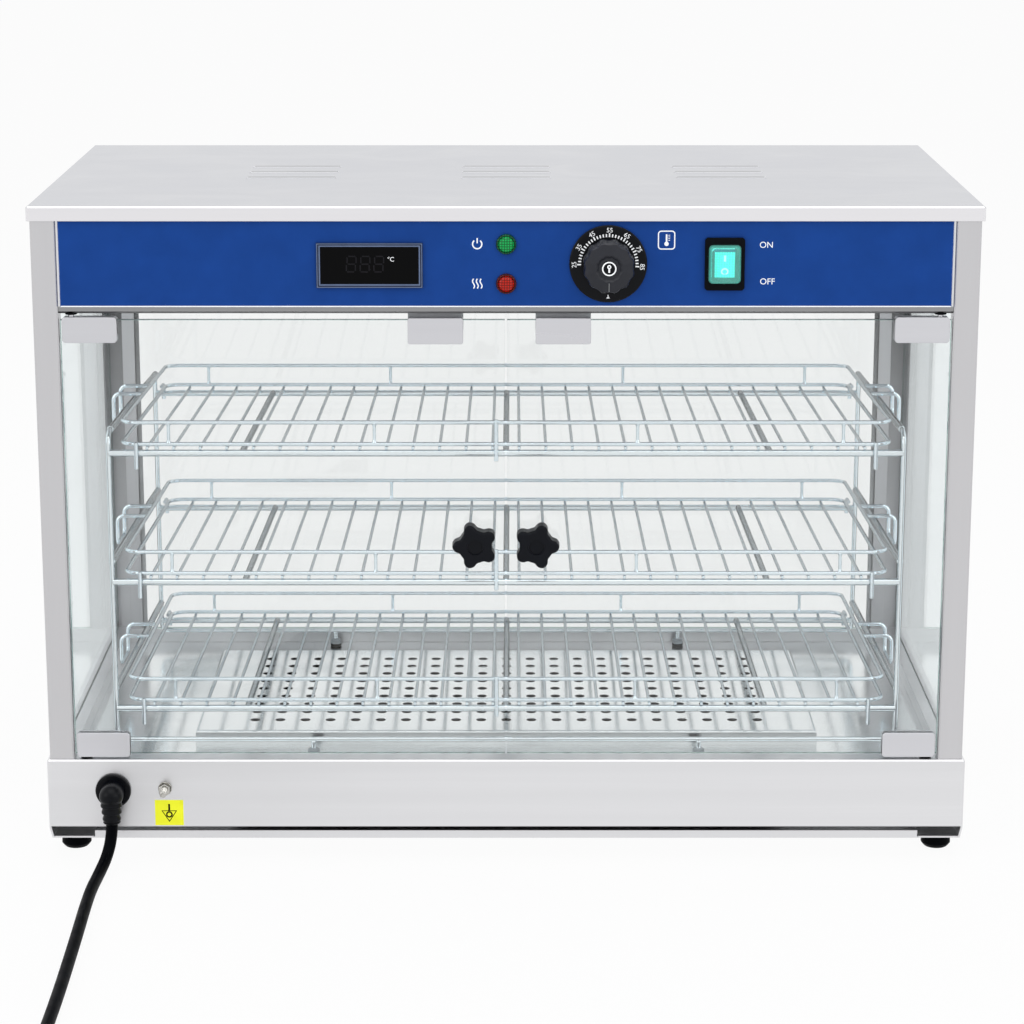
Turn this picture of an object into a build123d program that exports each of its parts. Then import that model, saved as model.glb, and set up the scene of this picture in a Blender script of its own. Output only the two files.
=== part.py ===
"""Countertop heated display case with glass doors and a wire rack of three hook-on shelves.

Sizes are in millimetres. The case stands on the plane z = 0, x runs to the right as seen from
the front, and y runs to the back. The origin is under the middle of the case with its dial.
"""

import os
from math import atan2, cos, degrees, pi, radians, sin, sqrt, tan

from build123d import *

# Case
case_width = 660.0
case_depth = 350.0
case_height = 475.0
dial_reach = 22.0
foot_height = 12.0
base_top = 75.4
base_skirt_bottom = 25.0
header_height = 75.0
lid_drop = 10.2
lid_sheet = 1.2
lid_ease = 1.0
body_step = 2.0
frame_sheet = 1.5
panel_sheet = 1.2
bend = 2.5

# Base and floor
front_ledge = 16.0
back_ledge = 9.0
side_ledge = 16.0
floor_depth = 11.4
floor_sheet = 1.0
skirt_corner = 12.0
foot_flange = 30.0
bottom_gap = 15.0
bottom_lip = 4.7

# Heater
cover_width = 460.0
cover_depth = 210.0
hole_columns = 21
hole_rows = 9
hole_pitch_x = 18.8
hole_pitch_y = 19.8
hole_diameter = 6.8
hole_sides = 4
tray_width = 406.0
tray_depth = 180.0
tray_height = 33.0
tray_rim = 12.0
element_diameter = 8.5
element_passes = 4
element_pitch = 40.0
element_bend = 16.0
element_reach = 375.0
element_clearance = 9.0
clip_spacing = 220.0

# Feet
foot_diameter = 21.5
foot_inset_side = 15.0
foot_inset_end = 30.0
foot_taper = 5.0
thread_sides = 8
foot_sides = 12

# Posts and glass
post_face = 17.5
post_leg = 22.0
post_bend = 1.0
post_return = 14.0
rear_post_face = 30.0
glass = 4.0
glass_play = 0.2
side_glass_inset = 4.0
strip_width = 10.0
strip_sheet = 1.2
rear_glass_overlap = 12.0

# Lid louvres
louvre_length = 66.0
louvre_width = 4.0
louvre_pitch = 31.0
louvre_group_spacing = 158.0
louvre_rows = 3
louvre_offset = 8.0

# Doors
door_setback = 5.0
door_split = 1.5
door_side_gap = 0.7
door_top_gap = 4.7
clip_width = 38.0
clip_wall = 2.0
clip_height = 18.1
clip_end_gap = 2.2
pivot_inset = 8.5
pivot_pin = 4.0
pin_clearance = 0.05
bush_wall = 0.6
bush_flange = 1.4
bush_thickness = 1.0
pivot_rest_gap = 0.3
pin_length = 2.4
bush_sides = 12
pin_sides = 16
strike_width = 38.5
strike_height = 18.3
strike_sheet = 1.2
strike_left_x = -49.0
strike_right_x = 40.0
magnet_height = 14.0
magnet_depth = 12.0
magnet_gap = 0.3

# Door knobs
knob_x = 21.5
knob_drop = 0.5
knob_lobes = 5
knob_lobe_radius = 5.0
knob_lobe_circle = 11.0
knob_core = 9.5
knob_head = 12.0
knob_hub = 14.0
knob_hub_length = 5.0
knob_recess = 11.5
knob_screw = 6.0
washer_thickness = 1.0
knob_sides = 12

# Fascia and controls
fascia_setback = 3.0
fascia_plate_inset = 21.2
fascia_plate_rise = 4.7
fascia_plate_drop = 2.0
fascia_plate_sheet = 1.0
header_flange = 22.0
header_bend = 1.6

display_x = -94.1
display_drop = 41.0
display_width = 73.4
display_height = 31.3
display_border = 1.9
display_body_depth = 48.0
display_play = 0.4
barrel_sides = 12

lamp_x = 0.3
power_lamp_drop = 26.3
heat_lamp_drop = 53.8
lamp_flange = 14.0
lamp_barrel = 10.0
lamp_length = 28.0
lamp_dome = 3.5

dial_x = 70.7
dial_drop = 39.8
dial_plate_diameter = 53.7
dial_plate_thickness = 2.5
dial_gap = 0.5
grip_diameter = 35.5
grip_lobes = 12
grip_scallop = 5.0
grip_scallop_depth = 1.3
grip_taper = 3.0
dial_dish = 17.0
dial_dish_depth = 2.0
dial_cap_diameter = 10.6
dial_shaft_diameter = 6.0
dial_shaft_clearance = 0.05
dial_shaft_in_grip = 13.0
dial_shaft_in_body = 16.0
thermostat_width = 46.0
thermostat_height = 36.0
thermostat_depth = 30.0
thermostat_neck = 9.6
bulb_offset_x = 70.0
bulb_offset_y = 60.0
bulb_joint = 8.0
capillary_drop = 14.0
capillary_bend = 4.0
bulb_diameter = 6.0
bulb_length = 80.0
capillary = 1.6

switch_x = 151.1
switch_drop = 40.0
switch_bezel_width = 27.6
switch_bezel_height = 36.7
switch_bezel_thickness = 2.5
switch_body_width = 21.6
switch_body_height = 29.6
switch_body_depth = 30.0
switch_play = 0.4
boot_width = 22.4
boot_height = 27.0
boot_reach = 8.5
boot_wall = 1.2
boot_taper = 8.0
rocker_width = 13.8
rocker_height = 17.8
rocker_tip = 7.0
rocker_axle = 3.0

# Wire rack
rack_inset = 45.5
rack_front = -119.0
rack_depth = 286.0
rack_tilt = 3.0
post_wire = 3.6
rail_wire = 5.0
support_wire = 4.6
base_rail_z = 77.0
level_z = (100.7, 196.2, 291.7)
side_rail_rise = 15.0
rack_bend = 10.0
rear_bend = 6.0
rack_sides = 8
weld_play = 0.25
support_spacing = 189.0
leg_spacing = 282.0
boot_rest_gap = 0.3
leg_boot_diameter = 9.0
leg_boot_height = 5.7
leg_boot_floor = 1.7

# Wire shelves
shelf_inset = 9.5
cross_wire = 2.4
cross_wires = 28
cross_margin = 18.5
frame_wire = 3.0
guard_height = 15.7
shelf_corner = 12.0
shelf_rest_gap = 0.3
hook_gap = 0.4
upright_inset = 34.0
upright_inner = 94.0
wire_sides = 4
hook_out = 21.5
hook_drop = 22.0
hook_length = 40.0
hook_centre = 12.0
hook_bend = 5.0
finger_inset = 11.0
finger_drop = 14.0
middle_finger_x = -7.0
middle_finger_drop = 8.0
middle_finger_top = 2.5
rear_finger_drop = 12.0

# Supply
gland_inset = 47.2
gland_z = 52.5
gland_flange = 24.7
gland_body = 17.0
gland_exit_diameter = 12.6
gland_out = 13.0
gland_drop = 20.0
gland_thread = 15.0
gland_ribs = 3
gland_sides = 12
earth_inset = 84.4
earth_z = 54.0
earth_thread = 5.0
earth_length = 15.0
terminal_size = (40.0, 20.0, 18.0)
terminal_inset = 125.0
terminal_z = 45.0

# Mains cord, coil and plug
cord_diameter = 8.5
cord_sides = 6
coil_dip = 2.0
coil_end_run = 21.0
coil_radius = 43.5
coil_turns = 4.25
coil_pitch = 9.3
coil_layer = 9.2
coil_offset = 48.8
coil_y = -562.0
plug_diameter = 37.0
plug_length = 34.0
plug_sleeve = 26.0
plug_pin = 4.8
plug_pin_spacing = 19.0
plug_pin_length = 19.0
plug_sides = 16
tie_width = 12.0
tie_wall = 1.2
tie_under = 0.5

# Planes that several pieces share
case_front = (dial_reach - case_depth) / 2
case_back = case_front + case_depth
case_middle = (case_front + case_back) / 2
lid_bottom = case_height - lid_drop
frame_top = case_height - lid_sheet
half_width = case_width / 2
header_bottom = case_height - header_height
body_side = half_width - body_step
body_front = case_front + body_step
body_back = case_back - body_step
floor_top = base_top - floor_depth
fascia_back = case_front + fascia_setback
fascia_face = fascia_back - fascia_plate_sheet
fascia_plate_width = case_width - 2 * fascia_plate_inset
fascia_plate_bottom = header_bottom + fascia_plate_rise
fascia_plate_top = lid_bottom - fascia_plate_drop
display_z = case_height - display_drop
power_lamp_z = case_height - power_lamp_drop
heat_lamp_z = case_height - heat_lamp_drop
dial_z = case_height - dial_drop
switch_z = case_height - switch_drop
window_width = display_width - 3 * display_border
window_height = display_height - 3 * display_border
post_inner = body_side - post_face
rear_post_inner = body_side - rear_post_face
side_glass_outer = half_width - side_glass_inset
door_front = case_front + door_setback
door_middle = door_front + glass / 2
door_back = door_front + glass
door_edge = post_inner - door_side_gap
pivot_x = post_inner - pivot_inset
clip_bottom = base_top + bush_thickness + pivot_rest_gap
door_bottom = clip_bottom + clip_wall
door_top = header_bottom - door_top_gap
knob_z = (door_bottom + door_top) / 2 - knob_drop
rear_glass_back = body_back - frame_sheet - glass_play
rack_back = rack_front + rack_depth
bush_barrel = pivot_pin / 2 + pin_clearance + bush_wall
rack_drop = rack_depth * tan(radians(rack_tilt))
rack_width = case_width - 2 * rack_inset
rack_side = rack_width / 2
shelf_width = rack_width - 2 * shelf_inset
cross_pitch = (shelf_width - 2 * cross_margin) / (cross_wires - 1)
upright_outer = shelf_width / 2 - upright_inset
finger_x = shelf_width / 2 - finger_inset
gland_x = gland_inset - half_width
earth_x = earth_inset - half_width
terminal_x = terminal_inset - half_width
coil_x = gland_x + coil_offset


def between(x0, x1, y0, y1, z0, z1):
    """A block between two corners."""
    return Pos((x0 + x1) / 2, (y0 + y1) / 2, (z0 + z1) / 2) * Box(x1 - x0, y1 - y0, z1 - z0)


def section_plane(origin, direction):
    """A plane across a bar, with its own x level wherever the bar isn't upright."""
    direction = Vector(*direction)
    level = Vector(-direction.Y, direction.X, 0)
    if level.length < 1e-6 * direction.length:
        level = Vector(1, 0, 0)
    return Plane(origin=Vector(*origin), x_dir=level, z_dir=direction)


def section(diameter, sides):
    """A round section, or one with flat sides whose flats lie a radius from the middle."""
    if sides == 0:
        return Circle(diameter / 2)
    turned = 180 / sides if sides % 4 == 0 else 0
    return RegularPolygon(diameter / 2, sides, major_radius=False, rotation=turned)


def rod(start, end, diameter, sides=0):
    """A straight bar between two points, round or with flat sides."""
    start, end = Vector(*start), Vector(*end)
    return extrude(section_plane(start, end - start) * section(diameter, sides), (end - start).length)


def eased(points, radius, chords=2, closed=False):
    """The corners of a path, each bend of the radius replaced by one or two chords."""
    stops = [Vector(*point) for point in points]
    ring = stops[-1:] + stops + stops[:1] if closed else stops
    path = [] if closed else [stops[0]]
    for before, corner, after in zip(ring, ring[1:], ring[2:]):
        arriving, leaving = (corner - before).normalized(), (after - corner).normalized()
        half_turn = radians(arriving.get_angle(leaving)) / 2
        inward = (leaving - arriving).normalized()
        path.append(corner - arriving * radius * tan(half_turn))
        if chords == 2:
            path.append(corner + inward * radius * (1 / cos(half_turn) - 1))
        path.append(corner + leaving * radius * tan(half_turn))
    return path if closed else path + [stops[-1]]


def bent_rod(points, radius, diameter, sides, chords=2):
    """A bar of straight runs with mitred chords at each bend, for wires that repeat."""
    path = Polyline(*eased(points, radius, chords))
    plane = section_plane(path @ 0, path % 0)
    return sweep(plane * section(diameter, sides), path=path, transition=Transition.RIGHT)


def folded_sheet(points, thickness, plane, length, side=Side.LEFT, radius=bend, chords=1):
    """A bent sheet whose visible side follows the points, with the thickness to one side."""
    corners = eased([(*point, 0) for point in points], radius, chords)
    outline = offset(Polyline(*corners), thickness, side=side, kind=Kind.INTERSECTION)
    return extrude(plane * make_face(outline), length)


def across(x_start):
    """A plane for profiles drawn in y and z and extruded to the right."""
    return Plane(origin=(x_start, 0, 0), x_dir=(0, 1, 0), z_dir=(1, 0, 0))


def facing(x, y, z):
    """A plane that faces the viewer, with its own x to the right and y upwards."""
    return Plane(origin=(x, y, z), x_dir=(1, 0, 0), z_dir=(0, -1, 0))


def both_sides(shape):
    """The shape and its mirror image on the other side of the case."""
    return [shape, shape.mirror(Plane.YZ)]


# Cabinet sheet metal


def lid():
    """Cover with turned-down edges, eased corners and pressed vent slots."""
    block = between(-half_width, half_width, case_front, case_back, lid_bottom, case_height)
    block = chamfer(block.edges().filter_by(Axis.Z), lid_ease)
    block = chamfer(block.faces().sort_by(Axis.Z)[-1].edges(), lid_ease)
    hollow = between(
        -half_width + lid_sheet,
        half_width - lid_sheet,
        case_front + lid_sheet,
        case_back - lid_sheet,
        lid_bottom - 1,
        frame_top,
    )
    slots = [
        Pos(
            column * louvre_group_spacing,
            case_middle + louvre_offset + (row - (louvre_rows - 1) / 2) * louvre_pitch,
            case_height,
        )
        * Box(louvre_length, louvre_width, 3 * lid_sheet)
        for column in (-1, 0, 1)
        for row in range(louvre_rows)
    ]
    return block - hollow - slots


def control_holes(middle):
    """Cutters for everything that passes through the fascia."""
    reach = 12.0
    display_cut = Box(
        display_width - 2 * display_border + 2 * display_play,
        reach,
        display_height - 2 * display_border + 2 * display_play,
    )
    switch_cut = Box(switch_body_width + 2 * switch_play, reach, switch_body_height + 2 * switch_play)
    cutters = [
        Pos(display_x, middle, display_z) * display_cut,
        Pos(switch_x, middle, switch_z) * switch_cut,
    ]
    round_holes = (
        (lamp_x, power_lamp_z, lamp_barrel),
        (lamp_x, heat_lamp_z, lamp_barrel),
        (dial_x, dial_z, thermostat_neck),
    )
    for x, z, diameter in round_holes:
        ends = ((x, middle - reach / 2, z), (x, middle + reach / 2, z))
        cutters.append(rod(*ends, diameter + 2 * display_play, barrel_sides))
    return cutters


def bush_hole(x, z, depth):
    """Cutter for a bush's barrel in a sheet at height z."""
    ends = ((x, door_middle, z - 2 * depth), (x, door_middle, z + 2 * depth))
    return rod(*ends, 2 * bush_barrel, bush_sides)


def header_front():
    """Fascia sheet, rolled under to the flange over the doors."""
    profile = [
        (fascia_back, frame_top),
        (fascia_back, header_bottom),
        (fascia_back + header_flange, header_bottom),
    ]
    half = post_inner - glass_play
    sheet = folded_sheet(profile, panel_sheet, across(-half), 2 * half, radius=header_bend)
    sheet -= control_holes(fascia_back)
    return sheet - [bush_hole(x, header_bottom, panel_sheet) for x in (-pivot_x, pivot_x)]


def fascia_plate():
    """Facing plate of the header with its cut-outs."""
    height = fascia_plate_top - fascia_plate_bottom
    middle = (fascia_plate_top + fascia_plate_bottom) / 2
    outline = Rectangle(fascia_plate_width, height)
    plate = extrude(facing(0, fascia_back, middle) * outline, fascia_plate_sheet)
    plate = chamfer(plate.edges().filter_by(Axis.Y), bend)
    return plate - control_holes(fascia_back)


def header_panels():
    """Side and rear sheets that close the header."""
    side_start = body_front + post_leg + glass_play
    side_end = body_back - post_leg - glass_play
    flange = 12.0
    profile = [(body_side, header_bottom), (body_side, frame_top), (body_side - flange, frame_top)]
    plane = Plane(origin=(0, side_end, 0), x_dir=(1, 0, 0), z_dir=(0, -1, 0))
    side = folded_sheet(profile, panel_sheet, plane, side_end - side_start)
    rear_half = rear_post_inner - glass_play
    profile = [
        (body_back - flange, header_bottom),
        (body_back, header_bottom),
        (body_back, frame_top),
    ]
    rear = folded_sheet(profile, panel_sheet, across(-rear_half), 2 * rear_half)
    return both_sides(side) + [rear]


def ceiling_panel():
    """Sheet over the heated space, with its sides turned up, lying on the header flanges."""
    z = header_bottom + panel_sheet
    half = side_glass_outer - glass - frame_sheet - 2 * glass_play
    upstand = 20.0
    y0 = fascia_back + header_flange - 6.0
    y1 = body_back - panel_sheet - glass_play - 8.0
    profile = [(-half, z + upstand), (-half, z), (half, z), (half, z + upstand)]
    plane = Plane(origin=(0, y1, 0), x_dir=(1, 0, 0), z_dir=(0, -1, 0))
    panel = folded_sheet(profile, panel_sheet, plane, y1 - y0)
    hole = ((capillary_x, capillary_y, z - 5), (capillary_x, capillary_y, z + 5))
    return panel - rod(*hole, 2 * capillary, 4)


def front_posts():
    """Folded front posts with a slot for the side glass."""
    lip_x = side_glass_outer - glass - glass_play - frame_sheet
    profile = [
        (lip_x, body_front + post_leg),
        (lip_x, body_front + post_return),
        (post_inner, body_front + post_return),
        (post_inner, body_front),
        (body_side, body_front),
        (body_side, body_front + post_leg),
    ]
    plane = Plane(origin=(0, 0, base_top))
    length = frame_top - base_top
    sheet = folded_sheet(profile, frame_sheet, plane, length, side=Side.RIGHT, radius=post_bend)
    return both_sides(sheet)


def rear_posts():
    """Folded rear posts: a side leg and a wide face behind the rear glass."""
    profile = [
        (body_side, body_back - post_leg),
        (body_side, body_back),
        (rear_post_inner, body_back),
    ]
    plane = Plane(origin=(0, 0, base_top))
    sheet = folded_sheet(profile, frame_sheet, plane, frame_top - base_top, radius=post_bend)
    return both_sides(sheet)


def side_glass():
    """Fixed side panes, held between the posts and the side ledges."""
    pane = between(
        side_glass_outer - glass,
        side_glass_outer,
        body_front + frame_sheet + glass_play,
        body_back - frame_sheet - glass_play,
        base_top,
        header_bottom + 4.0,
    )
    return both_sides(pane)


def rear_glass():
    """Fixed rear pane, held against the rear posts by the strips."""
    half = rear_post_inner + rear_glass_overlap
    return between(-half, half, rear_glass_back - glass, rear_glass_back, base_top, header_bottom)


def rear_glass_strips():
    """Angle strips that clamp the rear pane on each side."""
    edge = rear_post_inner + rear_glass_overlap + glass_play + strip_sheet
    face_y = rear_glass_back - glass - strip_sheet
    outline = make_face(
        Polyline(
            (edge, body_back - frame_sheet),
            (edge - strip_sheet, body_back - frame_sheet),
            (edge - strip_sheet, face_y + strip_sheet),
            (edge - strip_width, face_y + strip_sheet),
            (edge - strip_width, face_y),
            (edge, face_y),
            close=True,
        )
    )
    plane = Plane(origin=(0, 0, base_top))
    return both_sides(extrude(plane * outline, header_bottom - base_top))


# Base and heater


def ledge_opening(extra, z0, z1):
    """The block of the floor recess, grown sideways by extra."""
    return between(
        -half_width + side_ledge - extra,
        half_width - side_ledge + extra,
        case_front + front_ledge - extra,
        case_back - back_ledge + extra,
        z0,
        z1,
    )


def base_shell():
    """Folded base housing: ledges round the floor recess, deeper side skirts, foot flanges."""
    block = between(-half_width, half_width, case_front, case_back, foot_height, base_top)
    block = chamfer(block.edges().filter_by(Axis.Z), lid_ease)
    block = chamfer(block.faces().sort_by(Axis.Z)[-1].edges(), lid_ease)
    hollow = between(
        -half_width + frame_sheet,
        half_width - frame_sheet,
        case_front + frame_sheet,
        case_back - frame_sheet,
        foot_height - 1,
        base_top - frame_sheet,
    )
    shell = block - hollow
    lip = ledge_opening(frame_sheet, floor_top, base_top - frame_sheet / 2)
    shell = (shell + lip) - ledge_opening(0, foot_height - 1, base_top + 1)
    gap = half_width - frame_sheet
    shell -= between(-gap, gap, case_front - 1, case_back + 1, foot_height - 1, base_skirt_bottom)
    corner = Polyline(
        (case_front - 1, base_skirt_bottom),
        (case_front, base_skirt_bottom),
        (case_front + skirt_corner, foot_height),
        (case_front + skirt_corner, foot_height - 1),
        (case_front - 1, foot_height - 1),
        close=True,
    )
    shell -= extrude(across(-half_width - 1) * make_face(corner), case_width + 2)
    flange_y = (case_front + skirt_corner, case_back - skirt_corner)
    flange_z = (foot_height, foot_height + frame_sheet)
    for side in (-1, 1):
        x = sorted((side * (half_width - frame_sheet / 2), side * (half_width - foot_flange)))
        shell += between(*x, *flange_y, *flange_z)
    holes = [bush_hole(x, base_top, frame_sheet) for x in (-pivot_x, pivot_x)]
    for x, z, diameter in ((gland_x, gland_z, gland_thread), (earth_x, earth_z, earth_thread)):
        holes.append(rod((x, case_front - 4, z), (x, case_front + 4, z), diameter, thread_sides))
    return shell - holes


def floor_pan():
    """Floor sheet under the ledge lips, open over the heater."""
    pan = ledge_opening(frame_sheet, floor_top - floor_sheet, floor_top)
    return pan - between(
        -tray_width / 2,
        tray_width / 2,
        case_middle - tray_depth / 2,
        case_middle + tray_depth / 2,
        floor_top - 2 * floor_sheet,
        floor_top + 1,
    )


def heater_cover():
    """Perforated plate with turned-down edges that stands on the floor over the heater."""
    block = Pos(0, case_middle, floor_top + floor_depth / 2) * Box(cover_width, cover_depth, floor_depth)
    block = chamfer(block.faces().sort_by(Axis.Z)[-1].edges(), floor_sheet / 2)
    hollow = Box(cover_width - 2 * floor_sheet, cover_depth - 2 * floor_sheet, floor_depth)
    cover = block - Pos(0, case_middle, floor_top + floor_depth / 2 - floor_sheet) * hollow
    hole = RegularPolygon(hole_diameter / 2, hole_sides, major_radius=False, rotation=180 / hole_sides)
    places = GridLocations(hole_pitch_x, hole_pitch_y, hole_columns, hole_rows)
    plane = Plane(origin=(0, case_middle, base_top))
    return cover - extrude(plane * Sketch(children=list(places * hole)), -2 * floor_sheet)


def heater_tray():
    """Sheet tray under the floor that holds the heating element."""
    top = floor_top - floor_sheet
    block = between(
        -tray_width / 2,
        tray_width / 2,
        case_middle - tray_depth / 2,
        case_middle + tray_depth / 2,
        top - tray_height,
        top,
    )
    tray = offset(block, -floor_sheet, openings=block.faces().sort_by(Axis.Z)[-1])
    rim = Pos(0, case_middle, top - floor_sheet / 2) * Box(
        tray_width + 2 * tray_rim, tray_depth + 2 * tray_rim, floor_sheet
    )
    inner = Pos(0, case_middle, top - floor_sheet / 2) * Box(
        tray_width - 2 * floor_sheet, tray_depth - 2 * floor_sheet, 3 * floor_sheet
    )
    return tray + (rim - inner)


tray_floor = floor_top - floor_sheet - tray_height + floor_sheet
element_z = tray_floor + element_clearance + element_diameter / 2


def heating_element():
    """Tubular element in a flat zigzag, with both ends on the left."""
    left, right = -element_reach / 2 + element_pitch / 2, element_reach / 2
    first = case_middle - element_pitch * (element_passes - 1) / 2
    points = [(left - element_pitch / 2, first, element_z)]
    for turn in range(element_passes - 1):
        x = right if turn % 2 == 0 else left
        y = first + turn * element_pitch
        points += [(x, y, element_z), (x, y + element_pitch, element_z)]
    last = first + (element_passes - 1) * element_pitch
    points.append((left - element_pitch / 2, last, element_z))
    return bent_rod(points, element_bend, element_diameter, 8)


def heater_clips():
    """Notched plates that stand in the tray and carry the element."""
    clips = []
    for x in (-clip_spacing / 2, clip_spacing / 2):
        span = element_pitch * element_passes
        plate = between(x - 1.5, x + 1.5, case_middle - span / 2, case_middle + span / 2, tray_floor, element_z)
        for number in range(element_passes):
            y = case_middle + (number - (element_passes - 1) / 2) * element_pitch
            plate -= rod((x - 5, y, element_z), (x + 5, y, element_z), element_diameter, 8)
        clips.append(plate)
    return clips


def bottom_plate():
    """Closing plate under the base, lapped under the foot flanges, with short end lips."""
    half = half_width - foot_flange + 3.0
    y0, y1 = case_front + bottom_gap, case_back - bottom_gap
    top = foot_height
    plate = between(-half, half, y0, y1, top - panel_sheet, top)
    lip_half = half_width - foot_flange - 0.5
    plate += between(-lip_half, lip_half, y0, y0 + panel_sheet, top - panel_sheet, top + bottom_lip)
    plate += between(-lip_half, lip_half, y1 - panel_sheet, y1, top - panel_sheet, top + bottom_lip)
    return plate


def foot_places():
    """Centres of the four feet."""
    x = half_width - foot_inset_side
    ends = (case_front + foot_inset_end, case_back - foot_inset_end)
    return [(side * x, y) for side in (-1, 1) for y in ends]


def feet():
    """Tapered rubber feet."""
    foot = extrude(section(foot_diameter, foot_sides), -foot_height, taper=foot_taper)
    return [Pos(x, y, foot_height) * foot for x, y in foot_places()]


# Controls in the header


def display_module():
    """Panel thermometer: a front frame on a housing that passes through the fascia."""
    face = facing(display_x, fascia_face, display_z)
    bezel = extrude(face * Rectangle(display_width, display_height), 2.0)
    bezel = chamfer(bezel.faces().sort_by(Axis.Y)[0].edges(), 0.6)
    window = extrude(face * Rectangle(window_width, window_height), 4.0)
    outline = Rectangle(display_width - 2 * display_border, display_height - 2 * display_border)
    return (bezel - window) + extrude(face * outline, -display_body_depth)


def display_window():
    """Dark lens let into the display frame."""
    return extrude(facing(display_x, fascia_face, display_z) * Rectangle(window_width, window_height), 1.4)


def lamp(z):
    """Indicator lamp: a round cap on a barrel that passes through the fascia."""
    face = facing(lamp_x, fascia_face, z)
    cap = extrude(face * section(lamp_flange, barrel_sides), 1.6)
    dome = extrude(Plane(face.origin, face.x_dir, face.z_dir) * section(lamp_flange - 2.8, barrel_sides), lamp_dome, taper=30)
    barrel = extrude(face * section(lamp_barrel, barrel_sides), -lamp_length)
    return cap + dome + barrel


def dial_plate():
    """Fixed round plate behind the grip that carries the temperature scale."""
    face = facing(dial_x, fascia_face, dial_z)
    disc = extrude(face * Circle(dial_plate_diameter / 2), dial_plate_thickness)
    hole = section(thermostat_neck + 2 * display_play, barrel_sides)
    return disc - extrude(face * hole, dial_plate_thickness)


dial_front = case_front - dial_reach
dial_back = fascia_face - dial_plate_thickness - dial_gap


def dial_grip():
    """Scalloped grip, tapered towards the front, with a dished face and a shaft bore."""
    length = dial_back - dial_front
    outline = section(grip_diameter, 2 * grip_lobes)
    circle = grip_diameter / 2 + grip_scallop - grip_scallop_depth
    for place in PolarLocations(circle, grip_lobes):
        outline -= place * section(2 * grip_scallop, grip_lobes)
    grip = extrude(facing(dial_x, dial_back, dial_z) * outline, length, taper=grip_taper)
    dish = rod((dial_x, dial_front, dial_z), (dial_x, dial_front + dial_dish_depth, dial_z), dial_dish, 16)
    bore = rod((dial_x, dial_back, dial_z), (dial_x, dial_back - dial_shaft_in_grip, dial_z), dial_shaft_diameter)
    return grip - dish - bore


def dial_cap():
    """Small cap pressed into the dish of the grip."""
    bottom = dial_front + dial_dish_depth
    return extrude(facing(dial_x, bottom, dial_z) * section(dial_cap_diameter, 12), dial_dish_depth - 0.6)


thermostat_front = fascia_back + panel_sheet
neck_front = fascia_face - 0.5


def dial_shaft():
    """Thermostat shaft, turning in the neck and held by the grip."""
    y0 = dial_back - dial_shaft_in_grip
    y1 = thermostat_front + dial_shaft_in_body - 1.0
    return rod((dial_x, y0, dial_z), (dial_x, y1, dial_z), dial_shaft_diameter)


def thermostat_body():
    """Thermostat housing behind the fascia with the neck that its shaft turns in."""
    body = Pos(dial_x, thermostat_front + thermostat_depth / 2, dial_z) * Box(
        thermostat_width, thermostat_depth, thermostat_height
    )
    body = chamfer(body.edges().filter_by(Axis.Y), 3)
    ends = ((dial_x, neck_front, dial_z), (dial_x, thermostat_front, dial_z))
    neck = rod(*ends, thermostat_neck, barrel_sides)
    bore = rod(
        (dial_x, neck_front - 1, dial_z),
        (dial_x, thermostat_front + dial_shaft_in_body, dial_z),
        dial_shaft_diameter + 2 * dial_shaft_clearance,
    )
    return body + neck - bore


bulb_z = header_bottom + panel_sheet - bulb_diameter / 2
capillary_x = dial_x + bulb_offset_x
capillary_y = case_middle + bulb_offset_y


def thermostat_bulb():
    """Sensing bulb under the ceiling with its thin tube up to the thermostat."""
    start = capillary_x + bulb_joint
    bulb = rod((start, capillary_y, bulb_z), (start + bulb_length, capillary_y, bulb_z), bulb_diameter, 8)
    top = dial_z - capillary_drop
    tube = bent_rod(
        [
            (start + 1, capillary_y, bulb_z),
            (capillary_x, capillary_y, bulb_z),
            (capillary_x, capillary_y, top),
            (dial_x, capillary_y, top),
            (dial_x, thermostat_front + thermostat_depth, top),
        ],
        capillary_bend,
        capillary,
        4,
    )
    return bulb + tube


rocker_y = fascia_face + 1.5


def switch_body():
    """Switch housing with a front flange and the well that the rocker tips in."""
    face = facing(switch_x, fascia_face, switch_z)
    flange = extrude(face * Rectangle(switch_bezel_width, switch_bezel_height), switch_bezel_thickness)
    flange = chamfer(flange.edges().filter_by(Axis.Y), 1.5)
    body = extrude(face * Rectangle(switch_body_width, switch_body_height), -switch_body_depth)
    well = Pos(switch_x, fascia_face + 2.0, switch_z) * Box(rocker_width + 0.8, 12.0, rocker_height + 2.0)
    reach = rocker_width / 2 + 2.0
    bore = rocker_axle + 2 * pin_clearance
    axle_hole = rod((switch_x - reach, rocker_y, switch_z), (switch_x + reach, rocker_y, switch_z), bore, 8)
    return flange + body - well - axle_hole


def rocker():
    """Rocker with two shallow faces on an axle, resting with its lower end pressed in."""
    half = rocker_height / 2
    outline = make_face(
        Polyline(
            (2.5, -half + 1),
            (-4.0, -half),
            (-2.6, 0),
            (-4.0, half),
            (2.5, half - 1),
            close=True,
        )
    )
    paddle = extrude(across(-rocker_width / 2) * outline, rocker_width)
    end = rocker_width / 2 + 1.7
    axle = rod((-end, 0, 0), (end, 0, 0), rocker_axle * cos(pi / pin_sides), pin_sides)
    return Pos(switch_x, rocker_y, switch_z) * Rot(X=rocker_tip) * (paddle + axle)


def switch_cover():
    """Soft clear boot over the rocker, seated on the switch flange."""
    front = facing(switch_x, fascia_face - switch_bezel_thickness, switch_z)
    reach = boot_reach - switch_bezel_thickness
    outer = extrude(front * Rectangle(boot_width, boot_height), reach, taper=boot_taper)
    outer = chamfer(outer.faces().sort_by(Axis.Y)[0].edges(), 1.0)
    hollow = Rectangle(boot_width - 2 * boot_wall, boot_height - 2 * boot_wall)
    return outer - extrude(front * hollow, reach - boot_wall, taper=boot_taper)


# Doors


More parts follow.
